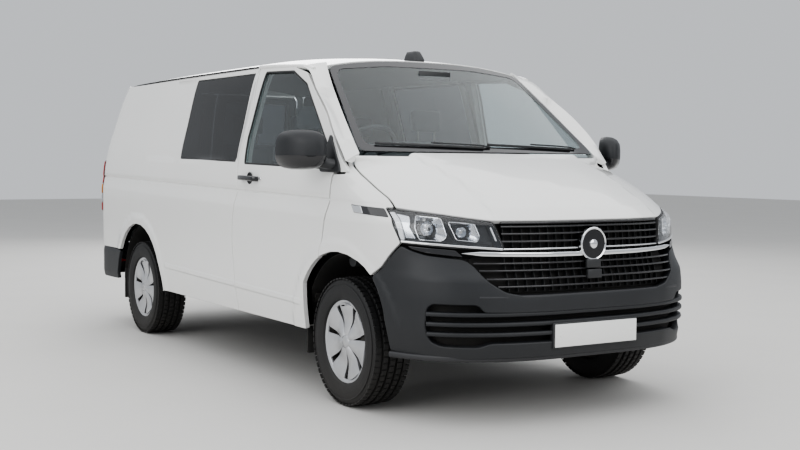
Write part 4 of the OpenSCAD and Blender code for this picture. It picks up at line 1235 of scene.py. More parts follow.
fins = [upright(s, 0.650, 0.965, 0.048) for s in np.arange(-0.48, 0.49, 0.048)]
make("grille_fins", fins, SATIN, "body")
panel("grille_mesh", [(0.64, 0.64), (0.64, 0.80), (0.52, 0.85), (0.51, 0.978), (-0.51, 0.978), (-0.52, 0.85),
                      (-0.64, 0.80), (-0.64, 0.64)], nose_in(0.066), (1, 0, 0), LINER, "body",
      cell=(0.05, 0.03), depth=0.004, gap=0.0)
make("sensor_cover", [rounded_box((NOSE - 0.032, -0.045, 0.700), (NOSE - 0.014, 0.045, 0.745), 0.005),
     rounded_box((NOSE - 0.040, -0.045, 0.750), (NOSE - 0.022, 0.045, 0.794), 0.005)], SATIN, "body")
badge = Vector((NOSE - 0.036, 0, 0.869))
make("badge_disc", [turned([(0.004, 0.0), (0.004, 0.070), (-0.012, 0.074)], badge, (1, 0, 0), 72)], GLOSS,
     "body")
badge_rim = [(-0.006, 0.0835), (0.006, 0.0825), (0.010, 0.078), (0.007, 0.072), (-0.002, 0.070)]
badge_stud = [(0.012, 0.0), (0.012, 0.016), (0.009, 0.022), (0.002, 0.024)]
make("badge_ring", [turned(badge_rim, badge, (1, 0, 0), 72), turned(badge_stud, badge, (1, 0, 0), 48)],
     CHROME, "body")
say_new("grille")

# %% [markdown]
# Each headlamp is a clear lens over a dark bowl. In the bowl sit a large reflector, a smaller one,
# a slanted position-light strip at the outer end and a bright strip along the bottom edge.

# %% Headlamps
lamp_shape = [(0.548, 0.979), (0.774, 1.010), (1.036, 1.036), (1.042, 0.964), (1.001, 0.877), (0.750, 0.859),
              (0.502, 0.852)]
below_lamp = [(0.966, 0.862), (0.734, 0.846), (0.698, 0.814), (0.872, 0.830), (0.946, 0.848)]
OUTER_STRIP = [(1.031, 1.018), (0.996, 1.020), (0.974, 0.890), (0.995, 0.888)]
OUTER_FRAME = [(0.984, 1.012), (0.925, 1.002), (0.936, 0.950), (0.906, 0.896), (0.958, 0.898)]
LARGE_BOWL = [(0.900, 1.004), (0.784, 0.994), (0.764, 0.908), (0.790, 0.886), (0.898, 0.893), (0.916, 0.952)]
SMALL_BOWL = [(0.752, 0.978), (0.628, 0.970), (0.607, 0.908), (0.620, 0.884), (0.718, 0.894)]
INNER_LINE = [(0.560, 0.956), (0.552, 0.956), (0.528, 0.890), (0.536, 0.890)]
LAMP_ZONES = (("strip", OUTER_STRIP, 0.012, PALE_LENS), ("frame", OUTER_FRAME, 0.026, REFLECTOR),
              ("line", INNER_LINE, 0.010, PALE_LENS))


def bowl(side, outline, front, back, waist, belly=0.93):
    """An angular reflector: its mouth is the outline, its throat the same shape, smaller and deeper."""
    mouth = soften(outline, 0.012, 0.02)
    centre = mouth.mean(0)
    rings = []
    for depth, size in ((front, 1.0), (front + 0.3 * (back - front), belly), (back, waist)):
        spread = centre + (mouth - centre) * size
        rings.append(nose(side * spread[:, 0], spread[:, 1]) - np.array([depth, 0, 0]))
    return loft(rings, caps=False)


for side, word in SIDES:
    shape = on_side(side, lamp_shape)
    out = (1, side * 0.4, 0)
    panel(f"lamp_lens_{word}", shape, nose, out, LENS, "body", stands_for=["headlamps"], corner=0.012,
          cell=(0.03, 0.02), gap=0.001, rim=0.004, depth=0.010, solid=0.003, lift=0.001)
    panel(f"lamp_back_{word}", shape, nose_in(0.075), out, BEZEL, "body", corner=0.012,
          cell=(0.03, 0.02),
          gap=0.0, depth=-0.004)
    make(f"lamp_case_{word}", [bowl(side, lamp_shape, 0.003, 0.078, 0.985, 0.99)], BEZEL, "body")
    seal(f"lamp_seal_{word}", shape, nose, out, "body", width=0.010, thick=0.020, lift=-0.012, corner=0.012)
    reflectors = [bowl(side, LARGE_BOWL, 0.018, 0.058, 0.66), bowl(side, SMALL_BOWL, 0.020, 0.056, 0.60)]
    rims = []
    for outline, depth in ((LARGE_BOWL, 0.016), (SMALL_BOWL, 0.018)):
        edge = soften(outline, 0.012, 0.02)
        line = nose(side * edge[:, 0], edge[:, 1]) - np.array([depth, 0, 0])
        rims.append(sweep(line, soft_rectangle(0.004, 0.006, 0.001, 1), up=(1, 0, 0), round_path=True))
    for (s, z), radius in (((0.842, 0.946), 0.034), ((0.680, 0.930), 0.026)):
        spot = Vector(nose(np.array([side * s]), np.array([z]))[0]) - Vector((0.056, 0, 0))
        facing = Vector((1, side * 0.25, 0)).normalized()
        dish = [(0.026, radius), (0.012, radius * 0.86), (0.002, radius * 0.5), (0.0, 0.0)]
        reflectors.append(turned(dish, spot, facing, 32))
        rims.append(turned([(0.022, 0.0), (0.022, 0.008), (0.016, 0.010), (0.0, 0.010)], spot, facing, 20))
    for zone, outline, depth, material in LAMP_ZONES:
        panel(f"lamp_{zone}_{word}", on_side(side, outline), nose_in(depth), out, material, "body",
              gap=0.0, rim=0.002, depth=0.012, corner=0.004, cell=(0.012, 0.012))
    for k, outline in enumerate((LARGE_BOWL, SMALL_BOWL)):
        panel(f"lamp_throat_{word}_{k}", on_side(side, outline), nose_in(0.062), out, SATIN, "body",
              gap=0.0, depth=-0.004, corner=0.012, cell=(0.02, 0.02))
    low_edge = nose(side * np.linspace(0.508, 0.996, 26),
                    np.linspace(0.852, 0.882, 26)) - np.array([0.003, 0, 0])
    make(f"lamp_reflectors_{word}", reflectors, REFLECTOR, "body")
    make(f"lamp_rims_{word}", rims, CHROME, "body")
    make(f"lamp_bright_edge_{word}", [sweep(low_edge, soft_rectangle(0.012, 0.011, 0.004))], CHROME,
         "body")
    panel(f"fog_lens_{word}", on_side(side, below_lamp), nose, out, GLOSS, "body", lift=0.002,
          gap=0.0,
          rim=0.003, depth=0.02, corner=0.008, cell=(0.03, 0.01))
    behind = [(0.50, 0.80), (0.50, 0.99), (round_to(2.07, 1.03), 1.03), (round_to(1.97, 1.035), 1.035),
              (round_to(2.0, 0.90), 0.90), (round_to(2.0, 0.80), 0.80)]
    panel(f"lamp_surround_{word}", on_side(side, behind), nose_in(0.100), out, LINER, "body",
          cell=(0.05, 0.04), depth=0.0)
say_new("headlamps")

# %% Number plate
low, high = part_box("front_plate")
sheet = rounded_box((high.x - 0.002, low.y, low.z), (high.x + 0.006, high.y, high.z), 0.003, 2)
make("front_plate_sheet", [sheet], PLATE, "body", ["front_plate"])
screw_head = [(0.0, 0.007), (0.002, 0.006), (0.003, 0.0)]
screws = [turned(screw_head, (high.x + 0.006, y, (low.z + high.z) / 2), (1, 0, 0), 20)
          for y in (-0.225, 0.225)]
make("plate_screws", screws, PLATE, "body")
holder = rounded_box((high.x - 0.030, low.y - 0.008, low.z - 0.008),
                     (high.x - 0.001, high.y + 0.008, high.z + 0.008), 0.005)
make("plate_holder", [holder], SATIN, "body")
say_new("front plate")

# %% [markdown]
# ## Wheels and tyres
#
# Each wheel is a steel rim behind a plastic trim with seven broad petals. The tyre has rounded
# shoulders, raised rings on its side wall and a block tread; all of it rides on the wheel's body.

# %% Tyre and trim
TYRE_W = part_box("tyre_fr")[1].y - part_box("tyre_fr")[0].y
TREAD_ROWS = ((-0.086, 0.034), (-0.042, 0.026), (0.0, 0.028), (0.042, 0.026), (0.086, 0.034))
TREAD_BLOCKS, PETALS, BOLTS = 60, 7, 5
STEPS_ACROSS = [-1 + 2 * j / 8 for j in range(9)]


def tyre_parts(centre, side):
    half = TYRE_W / 2
    wall = [(-half * 0.80, 0.212), (-half * 0.93, 0.222), (-half, 0.245), (-half, 0.272),
            (-half * 0.985, 0.290),
            (-half * 0.94, 0.310), (-half * 0.86, 0.324), (-half * 0.76, 0.3275)]
    grooves = []
    for c in (-0.062, -0.022, 0.022, 0.062):
        grooves += [(c - 0.0055, 0.3280), (c - 0.0045, 0.3205), (c + 0.0045, 0.3205), (c + 0.0055, 0.3280)]
    profile = wall + grooves + [(-h, r) for h, r in wall[::-1]]
    parts = [turned(profile, centre, (0, side, 0), 96)]
    bars = []
    for ring, (c, width) in enumerate(TREAD_ROWS):
        for i in range(TREAD_BLOCKS):
            a = 2 * math.pi * (i + 0.5 * (ring % 2)) / TREAD_BLOCKS
            turn = Matrix.Translation(centre) @ Matrix.Rotation(a, 4, "Y")
            crown = TYRE_R - 0.0003 - (0.0035 if ring in (0, 4) else 0.0)
            bars.append(rounded_box((-0.0135, c - width / 2, 0.322), (0.0135, c + width / 2, crown),
                                    0.0015, 1, turn))
    for radius in (0.262, 0.298):
        parts.append(turned([(half * 0.99, radius - 0.004), (half * 1.005, radius - 0.001),
                             (half * 1.005, radius + 0.001), (half * 0.99, radius + 0.004)], centre,
                            (0, side, 0), 96))
    return parts + bars


def trim_parts(centre, side):
    """Seven petals between a rim ring and a hub, with slots between them."""
    face = TYRE_W / 2 - 0.020
    parts = [turned([(face - 0.020, 0.2245), (face, 0.2215), (face + 0.003, 0.212), (face - 0.001, 0.200),
                     (face - 0.004, 0.196), (face - 0.012, 0.195)], centre, (0, side, 0), 84),
             turned([(face + 0.004, 0.0), (face + 0.004, 0.026), (face + 0.001, 0.032),
                     (face - 0.004, 0.036)],
                    centre, (0, side, 0), 48)]
    across = Vector((0, 0, 1))
    third = Vector((0, side, 0)).cross(across)
    for k in range(PETALS):
        mid = 2 * math.pi * k / PETALS
        rings = []
        for t in np.linspace(0, 1, 12):
            radius = 0.034 + t * 0.164
            slot = np.interp(radius, (0.034, 0.066, 0.085, 0.14, 0.198), (0.0, 0.0, 2.4, 4.4, 5.2))
            wide = math.radians(25.7 - slot)
            dish = face - 0.004 - 0.012 * math.sin(math.pi * t) ** 2
            ring = []
            front = [(wide * q, dish + 0.008 * (1 - q * q)) for q in STEPS_ACROSS]
            back = [(wide * 0.97 * q, dish - 0.012) for q in STEPS_ACROSS[::-1]]
            for angle, height in front + back:
                a = mid + angle
                ring.append(Vector(centre) + Vector((0, side, 0)) * height
                            + (across * math.cos(a) + third * math.sin(a)) * radius)
            rings.append(ring)
        parts.append(loft(rings))
    return parts


def rim_parts(centre, side):
    half = TYRE_W / 2
    barrel = [(half - 0.018, 0.224), (half - 0.026, 0.212), (half - 0.05, 0.196), (-half + 0.05, 0.192),
              (-half + 0.03, 0.212), (-half + 0.020, 0.224), (-half + 0.022, 0.208), (-half + 0.05, 0.186),
              (half - 0.06, 0.190)]
    disc = [(half - 0.075, 0.192), (half - 0.062, 0.165), (half - 0.050, 0.120), (half - 0.058, 0.085),
            (half - 0.052, 0.034), (half - 0.052, 0.0)]
    return [turned(barrel, centre, (0, side, 0), 64), turned(disc, centre, (0, side, 0), 64)]


for corner, side in CORNERS:
    centre, body = middle(f"tyre_{corner}"), f"wheel_{corner}"
    make(f"tyre_body_{corner}", tyre_parts(centre, side), RUBBER, body, [f"tyre_{corner}"], 30)
    make(f"wheel_trim_{corner}", trim_parts(centre, side), SILVER, body,
         [f"rim_{corner}"], 35)
    make(f"wheel_rim_{corner}", rim_parts(centre, side), CHASSIS, body)
    bolts = [turned([(0.0, 0.010), (0.010, 0.010), (0.012, 0.007), (0.012, 0.0)],
                    centre + Vector((0.056 * math.cos(a), side * (TYRE_W / 2 - 0.058), 0.056 * math.sin(a))),
                    (0, side, 0), 6) for a in [2 * math.pi * i / BOLTS for i in range(BOLTS)]]
    make(f"wheel_bolts_{corner}", bolts, STEEL, body)
    valve = centre + Vector((0, side * (TYRE_W / 2 - 0.012), 0.188))
    make(f"tyre_valve_{corner}", [turned([(0, 0.004), (0.014, 0.004), (0.018, 0.002), (0.018, 0)], valve,
                                         (0, side, 0), 12)],
         SEAL, body)
say_new(f"four wheels, tyre width {TYRE_W:.3f}")

# %% [markdown]
# ## Tail: frame, two doors, lamps and bumper
#
# The back of the body leans forwards above the waist. A pressed frame runs round the door opening,
# and two doors of equal width meet in the middle. The lamps sit on the corners, so their lenses
# follow a plan curve that starts flat and ends along the side.

# %% Tail frame and rear doors
tail_edge = [(0.862, 0.588), (0.862, 1.05), (0.838, 1.25), (0.797, 1.52), (0.786, 1.70), (0.765, 1.80),
             (0.735, 1.826), (0.70, 1.834), (0.50, 1.868), (0.30, 1.884)]
tail_opening = [(0.796, 0.600), (0.796, 1.15), (0.781, 1.40), (0.750, 1.65), (0.725, 1.778), (0.697, 1.814)]
panel("tail_frame", tail_edge + on_side(-1, tail_edge[::-1]), tail_surface, (-1, 0, 0), WHITE, "body",
      [tail_opening + on_side(-1, tail_opening[::-1])], corner=0.012, cell=(0.03, 0.03), depth=0.02,
      gap=0.001)
rear_shape = [(0.004, 0.602), (0.793, 0.602), (0.793, 1.15), (0.778, 1.40), (0.747, 1.65), (0.721, 1.776),
              (0.692, 1.811), (0.004, 1.811)]
REAR_WINDOW = [(0.100, 1.245), (0.688, 1.245), (0.676, 1.42), (0.640, 1.742), (0.100, 1.745)]
BACKWARDS = (-1, 0, 0)


def pressed_tail(y, z):
    """The tail with a shallow pressing in the lower half of each door."""
    place = tail_surface(y, z)
    a = np.abs(y)
    inside_it = ease((a - 0.11) / 0.02) * (1 - ease((a - 0.70) / 0.02))
    inside_it = inside_it * ease((z - 0.70) / 0.02) * (1 - ease((z - 1.11) / 0.02))
    place[:, 0] += 0.007 * inside_it
    return place


for side, word in DOORS:
    body = f"back_door_{word}"
    shape, pane = on_side(side, rear_shape), on_side(side, REAR_WINDOW)
    panel(f"rear_door_skin_{word}", shape, pressed_tail, BACKWARDS, WHITE, body, [pane],
          [f"rear_door_{word}"], corner=0.012, cell=(0.025, 0.02), depth=0.03)
    panel(f"rear_door_board_{word}", shape, tail_surface, BACKWARDS, PALE_TRIM, body, [pane],
          corner=0.012, cell=(0.06, 0.06), gap=0.02, lift=-0.040, depth=-0.006)
    panel(f"rear_pane_{word}", pane, tail_surface, BACKWARDS, PRIVACY, body,
          stands_for=[f"rear_glass_{word}"], corner=0.03, gap=0.002, rim=0.001, depth=0.003, lift=-0.006,
          solid=0.004, cell=(0.07, 0.07))
    seal(f"rear_pane_seal_{word}", pane, tail_surface, BACKWARDS, body, width=0.016, lift=-0.006, corner=0.03)
    for k, z in enumerate((0.70, 1.32)):
        at = tail_surface(np.array([0.775]), np.array([z]))[0]
        make(f"rear_hinge_{word}_{k}", [rounded_box((at[0] - 0.012, side * 0.762 - 0.026, z - 0.030),
             (at[0] + 0.004, side * 0.762 + 0.026, z + 0.030), 0.005)], WHITE, body)
grip_face = float(tail_profile(1.18))
make("rear_handle_cup", [rounded_box((grip_face - 0.004, -0.185, 1.145),
                                     (grip_face + 0.006, -0.030, 1.205), 0.004)],
     SATIN, "back_door_r")
make("rear_handle", [rounded_box((grip_face - 0.020, -0.170, 1.178), (grip_face - 0.006, -0.045, 1.198),
                                 0.006)],
     GLOSS, "back_door_r")
make("rear_plate_lamp", [rounded_box((TAIL - 0.012, 0.14, 1.060), (TAIL + 0.010, 0.66, 1.086), 0.006)], SATIN,
     "back_door_l")
make("rear_plate_sheet", [rounded_box((TAIL - 0.006, 0.14, 0.925), (TAIL + 0.001, 0.66, 1.036), 0.003,
                                      2)], PLATE,
     "back_door_l")
say_new("rear doors")

# %% Tail lamps and rear bumper
corner_drop, corner_width = plan_curve([(0, 0.5), (0.010, 0.72), (0.025, 0.80), (0.045, 0.86), (0.075, 0.91),
                                        (0.115, 0.94), (0.17, 0.951), (0.25, 0.952), (0.50, 0.952)])


def tail_corner(side):
    """The rear corner as a function of the distance round it and the height."""

    def surface(t, z):
        y = corner_width(t) * half_width(z + SLANT * TAIL) / HALF
        return np.stack([tail_profile(z) + corner_drop(t), side * y, z + 0 * t], 1)

    return surface


lamp_zones = [("stop", 1.075, 1.245, RED), ("turn", 0.998, 1.070, AMBER),
              ("reverse", 0.930, 0.993, REFLECTOR),
              ("tail", 0.865, 0.925, RED)]
for side, word in SIDES:
    surface, out = tail_corner(side), (-1, side, 0)
    case = [(0.312, 0.855), (0.506, 0.855), (0.512, 1.255), (0.320, 1.255)]
    panel(f"tail_lamp_case_{word}", case, surface, out, GLOSS, "body",
          stands_for=["tail_lamps"],
          lift=0.003, gap=0.0, rim=0.004, depth=0.006, corner=0.02, cell=(0.02, 0.02))
    for zone, low_z, high_z, material in lamp_zones:
        lens = [(0.320, low_z), (0.500, low_z), (0.502, high_z), (0.324, high_z)]
        panel(f"tail_lens_{zone}_{word}", lens, surface, out, material, "body", lift=0.009,
              gap=0.0,
              rim=0.004, depth=0.005, corner=0.008, cell=(0.014, 0.012))
bumper_drop, bumper_width = plan_curve([(0, 0), (0.002, 0.50), (0.020, 0.72), (0.050, 0.83), (0.095, 0.895),
                                        (0.150, 0.930), (0.230, 0.946), (0.34, 0.950), (0.70, 0.951)])
REAR_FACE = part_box("rear_bumper")[0].x + 0.001


def bumper_tail(t, z):
    a = np.abs(t)
    top = ease((z - 0.555) / 0.05)
    lower = 1 - ease((z - 0.352) / 0.05)
    inset = 0.012 * top + 0.010 * lower
    y = bumper_width(a) - inset * 0.5
    return np.stack([REAR_FACE + bumper_drop(a) + inset, np.sign(t) * y, z + 0 * a], 1)


def round_bumper(x):
    t = np.linspace(0.8, 1.9, 600)
    return float(np.interp(x, REAR_FACE + bumper_drop(t), t))


arch_end = [(round_bumper(x), z) for x, z in arch_points(AXLE_REAR, ARCH_R, 148, 177, 6)]
half_tail = arch_end[::-1]
rear_outline = [(0.9, 0.352)] + half_tail + [(round_bumper(-2.20), 0.596), (0.9, 0.592)]
rear_outline = rear_outline + on_side(-1, rear_outline[::-1])
panel("rear_bumper_moulding", rear_outline, bumper_tail, BACKWARDS, GRAINED, "body",
      stands_for=["rear_bumper"], corner=0.015, cell=(0.03, 0.018), depth=0.02, rim=0.005, gap=0.001)
step_y = np.linspace(-0.70, 0.70, 24)
make("rear_step", [sweep([(TAIL - 0.002, y, 0.586) for y in step_y], soft_rectangle(0.085, 0.012,
        0.004))], LIP,
     "body")
for side, word in SIDES:
    at = bumper_tail(np.array([side * 0.80]), np.array([0.46]))[0]
    make(f"rear_reflector_{word}", [rounded_box((at[0] - 0.004, side * 0.73 - 0.07, 0.445),
         (at[0] + 0.010, side * 0.73 + 0.07, 0.475), 0.004)], RED, "body")
for side, word in SIDES:
    joint = smooth_path([(x, 0, z) for x, z in REAR_EDGE], 40)
    spots = flank(side)(joint[:, 0], joint[:, 2] + SLANT * joint[:, 0])
    make(f"corner_bead_{word}", [sweep(spots - np.array([0.002, side * 0.010, 0]), circle(0.011, 12),
                                       up=(0, 1, 0))],
         WHITE, "body", sharp=60)
say_new("tail lamps and rear bumper")

# %% [markdown]
# ## Cab
#
# The driver sits on the right. The dashboard is one long moulding with a hood over the dials, and
# its profile is a soft closed line carried from door to door.

# %% Dashboard
dash_profile = [(1.430, 0.705), (1.430, 1.255), (1.350, 1.272), (1.175, 1.238), (1.115, 1.160),
                (1.160, 0.975),
                (1.352, 0.885), (1.356, 0.705)]
dash_ring = soften(dash_profile, 0.035, 0.03)
dash_rings = []
DASH_HALF = 0.775
for y in np.linspace(-DASH_HALF, DASH_HALF, 32):
    wrap = 0.055 * (abs(y) / DASH_HALF) ** 3
    dash_rings.append([(x - wrap * ease((1.36 - x) / 0.2) * ease((z - 0.95) / 0.2) * 0.4, y, z)
                       for x, z in dash_ring])
make("dashboard_moulding", [loft(dash_rings)], TRIM, "body", ["dashboard"], 50)
hood_rings = []
for x, half, top in ((1.300, 0.165, 1.300), (1.230, 0.175, 1.318), (1.160, 0.178, 1.312),
                     (1.128, 0.172, 1.296)):
    arc = [(x, DRIVER_Y + half * math.cos(a), 1.205 + (top - 1.205) * math.sin(a) ** 0.8)
           for a in np.linspace(0.0, math.pi, 19)]
    hood_rings.append(arc)
make("dial_hood", [loft(hood_rings)], TRIM, "body", sharp=60)
dials = [turned([(0.002, 0.0), (0.002, 0.050), (0.007, 0.054), (0.0, 0.057)], (1.124, DRIVER_Y + d, 1.225),
                (-1, 0, 0.1), 36) for d in (-0.075, 0.075)]
make("dial_faces", dials, GLOSS, "body")
make("centre_screen", [rounded_box((1.112, -0.115, 1.105), (1.150, 0.115, 1.225), 0.008)], GLOSS, "body")
vents = []
for y in (-0.70, -0.16, 0.16, 0.70):
    for row in range(4):
        z = 1.115 + 0.018 * row
        vents.append(rounded_box((1.112, y - 0.040, z), (1.135, y + 0.040, z + 0.008), 0.002, 1))
make("air_vents", vents, SATIN, "body")
make("gear_console", [rounded_box((1.12, -0.13, 0.72), (1.38, 0.13, 1.02), 0.03)], TRIM, "body")
make("gear_lever", [sweep(smooth_path([(1.14, 0.0, 0.96), (1.09, 0.0, 1.02), (1.06, 0.0, 1.06)], 8),
                          circle(0.009, 12)),
     turned([(0.0, 0.0), (0.0, 0.016), (0.014, 0.024), (0.034, 0.020), (0.040, 0.0)], (1.06, 0, 1.05),
            (-0.5, 0, 1), 20)], SATIN, "body")
say_new("dashboard")

# %% Steering wheel
hub = Vector((0.85, DRIVER_Y, 1.32))
shaft = Vector((-0.788, 0, 0.616)).normalized()
GRIP, REACH = 0.0145, 0.178
wheel_across = (Vector((0, 0, 1)) - shaft * shaft.z).normalized()
wheel_third = shaft.cross(wheel_across)


def on_wheel(angle, radius, along=0.0):
    a = math.radians(angle)
    return hub + (wheel_across * math.cos(a) + wheel_third * math.sin(a)) * radius + shaft * along


rim_rings = []
RIM_STEP = 5.0
for k in range(round(360 / RIM_STEP) + 1):
    a = RIM_STEP * k
    out = (on_wheel(a, 1.0) - hub).normalized()
    rim_rings.append([on_wheel(a, REACH) + out * GRIP * math.cos(q) + shaft * GRIP * math.sin(q)
                      for q in np.linspace(0, 2 * math.pi, 15)[:-1]])
spokes = [sweep([on_wheel(a, r, -0.012 * (1 - r / REACH)) for r in (0.04, 0.09, 0.13, REACH)],
                soft_rectangle(0.034, 0.012, 0.004), up=shaft) for a in (90, 270, 180)]
make("steering_rim", [loft(rim_rings, caps=False)], SATIN, "steering", ["steering_wheel"], 60)
make("steering_spokes", spokes, TRIM, "steering")
boss = [(-0.040, 0.0), (-0.040, 0.050), (-0.020, 0.066), (0.004, 0.062), (0.010, 0.045), (0.012, 0.0)]
make("steering_boss", [turned(boss, hub, shaft, 40)], TRIM, "steering", sharp=50)
make("steering_column_cover", [sweep([hub - shaft * d for d in (0.048, 0.10, 0.20, 0.30)],
                                     circle(0.044, 24))], TRIM,
     "body", sharp=60)
say_new("steering wheel")

# %% [markdown]
# ## Seats
#
# Each pad is foam under cloth. It starts a little small, is blown up gently by a short cloth run
# with pressure and no gravity, and no point may move further than a set limit. The sewn channels
# are pressed in afterwards. Pads that are alike are made once and copied.

# %% Padding
VOXEL, PRESSURE, FRAMES, MOST = 0.013, 4.0, 16, 0.024


def evaluated(piece):
    graph = bpy.context.evaluated_depsgraph_get()
    return bpy.data.meshes.new_from_object(piece.evaluated_get(graph))


def with_modifier(piece, name, kind, **settings):
    modifier = piece.modifiers.new(name, kind)
    for label, value in settings.items():
        setattr(modifier, label, value)
    mesh = evaluated(piece)
    piece.modifiers.remove(modifier)
    piece.data = mesh


def blow_up(piece):
    before = np.array([tuple(v.co) for v in piece.data.vertices])
    cloth = piece.modifiers.new("cloth", "CLOTH")
    cloth.settings.use_pressure = True
    cloth.settings.uniform_pressure_force = PRESSURE
    cloth.settings.effector_weights.gravity = 0
    cloth.settings.quality = 4
    for frame_number in range(1, FRAMES + 1):
        bpy.context.scene.frame_set(frame_number)
    after = np.array([tuple(v.co) for v in evaluated(piece).vertices])
    piece.modifiers.remove(cloth)
    bpy.context.scene.frame_set(1)
    move = after - before
    far = np.linalg.norm(move, axis=1, keepdims=True)
    after = before + move * np.minimum(1.0, MOST / np.maximum(far, 1e-9))
    for vertex, place in zip(piece.data.vertices, after):
        vertex.co = place


def pad_mesh(name, size, lean, channels):
    """A pad of the given size about its own centre, leaning back, with channels across its width."""
    start = [s / 2 - 0.016 for s in size]
    points, faces = rounded_box([-s for s in start], start, min(start) * 0.55, 4)
    piece = to_object(name, points, faces, CLOTH)
    with_modifier(piece, "remesh", "REMESH", mode="VOXEL", voxel_size=VOXEL)
    blow_up(piece)
    with_modifier(piece, "smooth", "SUBSURF", levels=1)
    place = np.array([tuple(v.co) for v in piece.data.vertices])
    half = np.array(size) / 2
    inward = -np.sign(place) * np.clip(np.abs(place) / half - 0.80, 0, 1)
    for axis, offset in channels:
        close = np.exp(-(((place[:, axis] - offset) / 0.008) ** 2))
        place += inward * close[:, None] * 0.035
    place = np.clip(place, -half, half)
    place[:, 0] += lean * (place[:, 2] + half[2])
    for vertex, spot in zip(piece.data.vertices, place):
        vertex.co = spot
    piece.data.shade_smooth()
    return piece


def place_pads(name, size, centres, lean, channels, stands_for):
    first = pad_mesh(f"{name}_0", size, lean, channels)
    for k, centre in enumerate(centres):
        piece = first
        if k:
            piece = bpy.data.objects.new(f"{name}_{k}", first.data.copy())
            bpy.context.scene.collection.objects.link(piece)
        piece.location = centre
        attach(piece, "body", stands_for)


FRONT_Y = 0.42
place_pads("front_cushion", (0.49, 0.475, 0.145), [(0.615, s * FRONT_Y, 0.866) for s in (-1, 1)], 0.0,
           [(1, -0.150), (1, 0.150), (0, 0.02)], ["front_seats"])
place_pads("front_backrest", (0.105, 0.470, 0.480), [(0.345, s * FRONT_Y, 1.190) for s in (-1, 1)], -0.22,
           [(1, -0.145), (1, 0.145), (2, -0.02)], ["front_seats"])
place_pads("front_headrest", (0.088, 0.245, 0.170), [(0.256, s * FRONT_Y, 1.530) for s in (-1, 1)], -0.05,
           [(2, -0.03)], ["front_seats"])
BENCH_Y = (-0.44, 0.0, 0.44)
place_pads("bench_cushion", (0.49, 0.435, 0.135), [(-0.306, y, 0.846) for y in BENCH_Y], 0.0,
           [(1, -0.13), (1, 0.13)], ["rear_bench"])
place_pads("bench_backrest", (0.110, 0.432, 0.480), [(-0.622, y, 1.170) for y in BENCH_Y], -0.06,
           [(1, -0.13), (1, 0.13)], ["rear_bench"])
place_pads("bench_headrest", (0.088, 0.245, 0.168), [(-0.663, y, 1.508) for y in BENCH_Y], 0.0,
           [(2, -0.03)], ["rear_bench"])
posts = []
post_rows = ((0.262, [s * FRONT_Y for s in (-1, 1)], 1.40, 1.47), (-0.656, BENCH_Y, 1.38, 1.45))
for x, ys, low_z, high_z in post_rows:
    for y in ys:
        posts += [turned([(0.0, 0.006), (high_z - low_z, 0.006)], (x, y + d, low_z), (0, 0, 1), 12)
                  for d in (-0.065, 0.065)]
make("headrest_posts", posts, STEEL, "body")
bases = [rounded_box((0.39, s * FRONT_Y - 0.215, 0.555), (0.84, s * FRONT_Y + 0.215, 0.790), 0.02)
         for s in (-1, 1)]
bases.append(rounded_box((-0.54, -0.62, 0.555), (-0.09, 0.62, 0.772), 0.02))
make("seat_bases", bases, TRIM, "body")
say_new("seats")

# %% [markdown]
# ## Small outside parts
#
# The wipers lie along the foot of the windscreen, the aerial stands on the roof, and the wheel
# arches are lined with dull black moulded shells so that no bare metal shows behind the tyres.

# %% Wipers, scuttle, aerial and arch liners


def above_screen(y, z, height):
    place, normal, _, _ = on_surface(screen_surface, np.array([[y, z]]), (1, 0, 1))
    return place[0] + normal[0] * height


blades, arms = [], []
for start_y, end_y, low_z, high_z in ((-0.690, -0.060, 1.352, 1.334), (-0.020, 0.600, 1.352, 1.334)):
    ys, zs = np.linspace(start_y, end_y, 16), np.linspace(low_z, high_z, 16)
    blades.append(sweep([above_screen(y, z, 0.010) for y, z in zip(ys, zs)],
                        soft_rectangle(0.010, 0.014, 0.003)))
    knee = (start_y + end_y) / 2
    arm_path = [above_screen(end_y + 0.05, 1.340, 0.008), above_screen(end_y - 0.02, 1.344, 0.015),
                above_screen(knee, 1.352, 0.018)]
    arms.append(sweep(smooth_path(arm_path, 12), soft_rectangle(0.012, 0.008, 0.002)))
make("wiper_blades", blades, SATIN, "body", ["wipers"])
make("wiper_arms", arms, SATIN, "body")
rail_round("scuttle", 0.76, 1.290, soft_rectangle(0.070, 0.010, 0.004), SATIN, 0.040)
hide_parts("cowl")

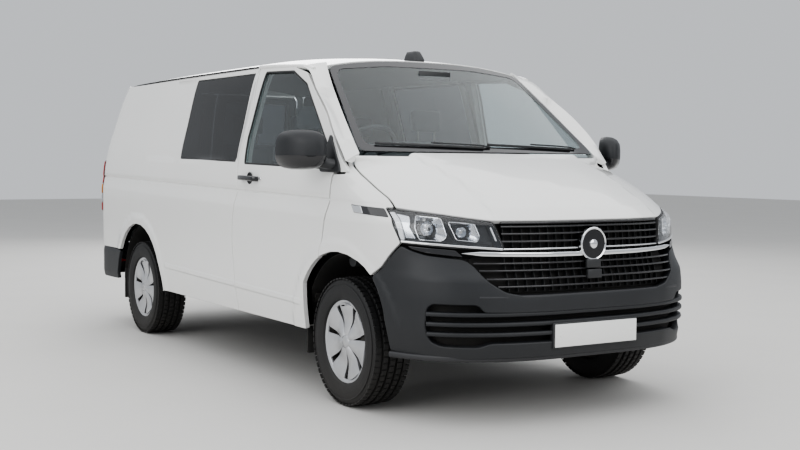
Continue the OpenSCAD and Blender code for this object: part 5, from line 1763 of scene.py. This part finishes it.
aerial_low, aerial_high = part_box("aerial")
aerial_x = (aerial_low.x + aerial_high.x) / 2
aerial_foot = float(roof_height(np.array(aerial_x), np.array(0.0)))
fin_rings = []
fin_levels = ((-0.10, 0.076, 0.040, 0.0), (0.10, 0.074, 0.039, 0.0), (0.75, 0.056, 0.028, 0.006),
              (0.95, 0.049, 0.023, 0.008), (1.0, 0.040, 0.016, 0.008))
for t, half_long, half_wide, back in fin_levels:
    z = aerial_foot + t * (aerial_high.z - 0.001 - aerial_foot)
    ring = soft_rectangle(2 * half_long, 2 * half_wide, half_wide * 0.7, 5)
    fin_rings.append([(aerial_x - back + x, y, z) for x, y in ring])
make("aerial_fin", [loft(fin_rings)], SATIN, "body", ["aerial"], 50)

for corner, side in CORNERS:
    centre = middle(f"tyre_{corner}")
    inner_edge = 0.60 - abs(centre.y)
    outer_edge = 0.895 - abs(centre.y)
    shell = [(inner_edge, 0.448), (outer_edge, 0.452), (outer_edge, 0.456), (inner_edge, 0.452),
             (inner_edge, 0.448)]
    make(f"arch_liner_{corner}", [turned(shell, centre, (0, side, 0), 44, 172, -86)], LINER, "body")
    axle = centre.x - 0.420
    make(f"mud_flap_{corner}", [rounded_box((axle - 0.006, side * 0.79 - 0.115, 0.215),
         (axle + 0.006, side * 0.79 + 0.115, 0.44), 0.004, 2)], RUBBER, "body")
make("floor_mat", [rounded_box((0.42, -0.60, 0.546), (1.14, 0.60, 0.556), 0.004, 2)], MAT, "body")
make("load_mat", [rounded_box((-2.20, -0.60, 0.546), (-0.75, 0.60, 0.552), 0.003, 2)], MAT, "body")
roof_mirror = [rounded_box((0.985, -0.11, 1.735), (1.000, 0.11, 1.795), 0.007)]
make("cab_mirror", roof_mirror, SATIN, "body")
say_new("small outside parts and mats")

# %% [markdown]
# ## Finishes on the frame's own pieces
#
# Underneath, the pressed floor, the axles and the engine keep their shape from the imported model.
# They get underbody paint, cast metal or steel.

# %% Underbody finishes
FRAME_FINISHES = {"floor": CHASSIS, "engine": ENGINE, "front_axle": CHASSIS, "rear_axle": CHASSIS,
                  "knuckle_r": STEEL, "knuckle_l": STEEL}
for node, material in FRAME_FINISHES.items():
    for place in CAD[node].material_slots:
        place.material = material
print("finished", len(FRAME_FINISHES), "pieces of the frame")

# %% [markdown]
# ## Floor and the last lines
#
# A plain pale floor takes the van's shadow.

# %% Floor and its finish
ground = to_object("studio_ground", [(-30, -30, 0), (30, -30, 0), (30, 30, 0), (-30, 30, 0)],
                   [(0, 1, 2, 3)], GROUND)
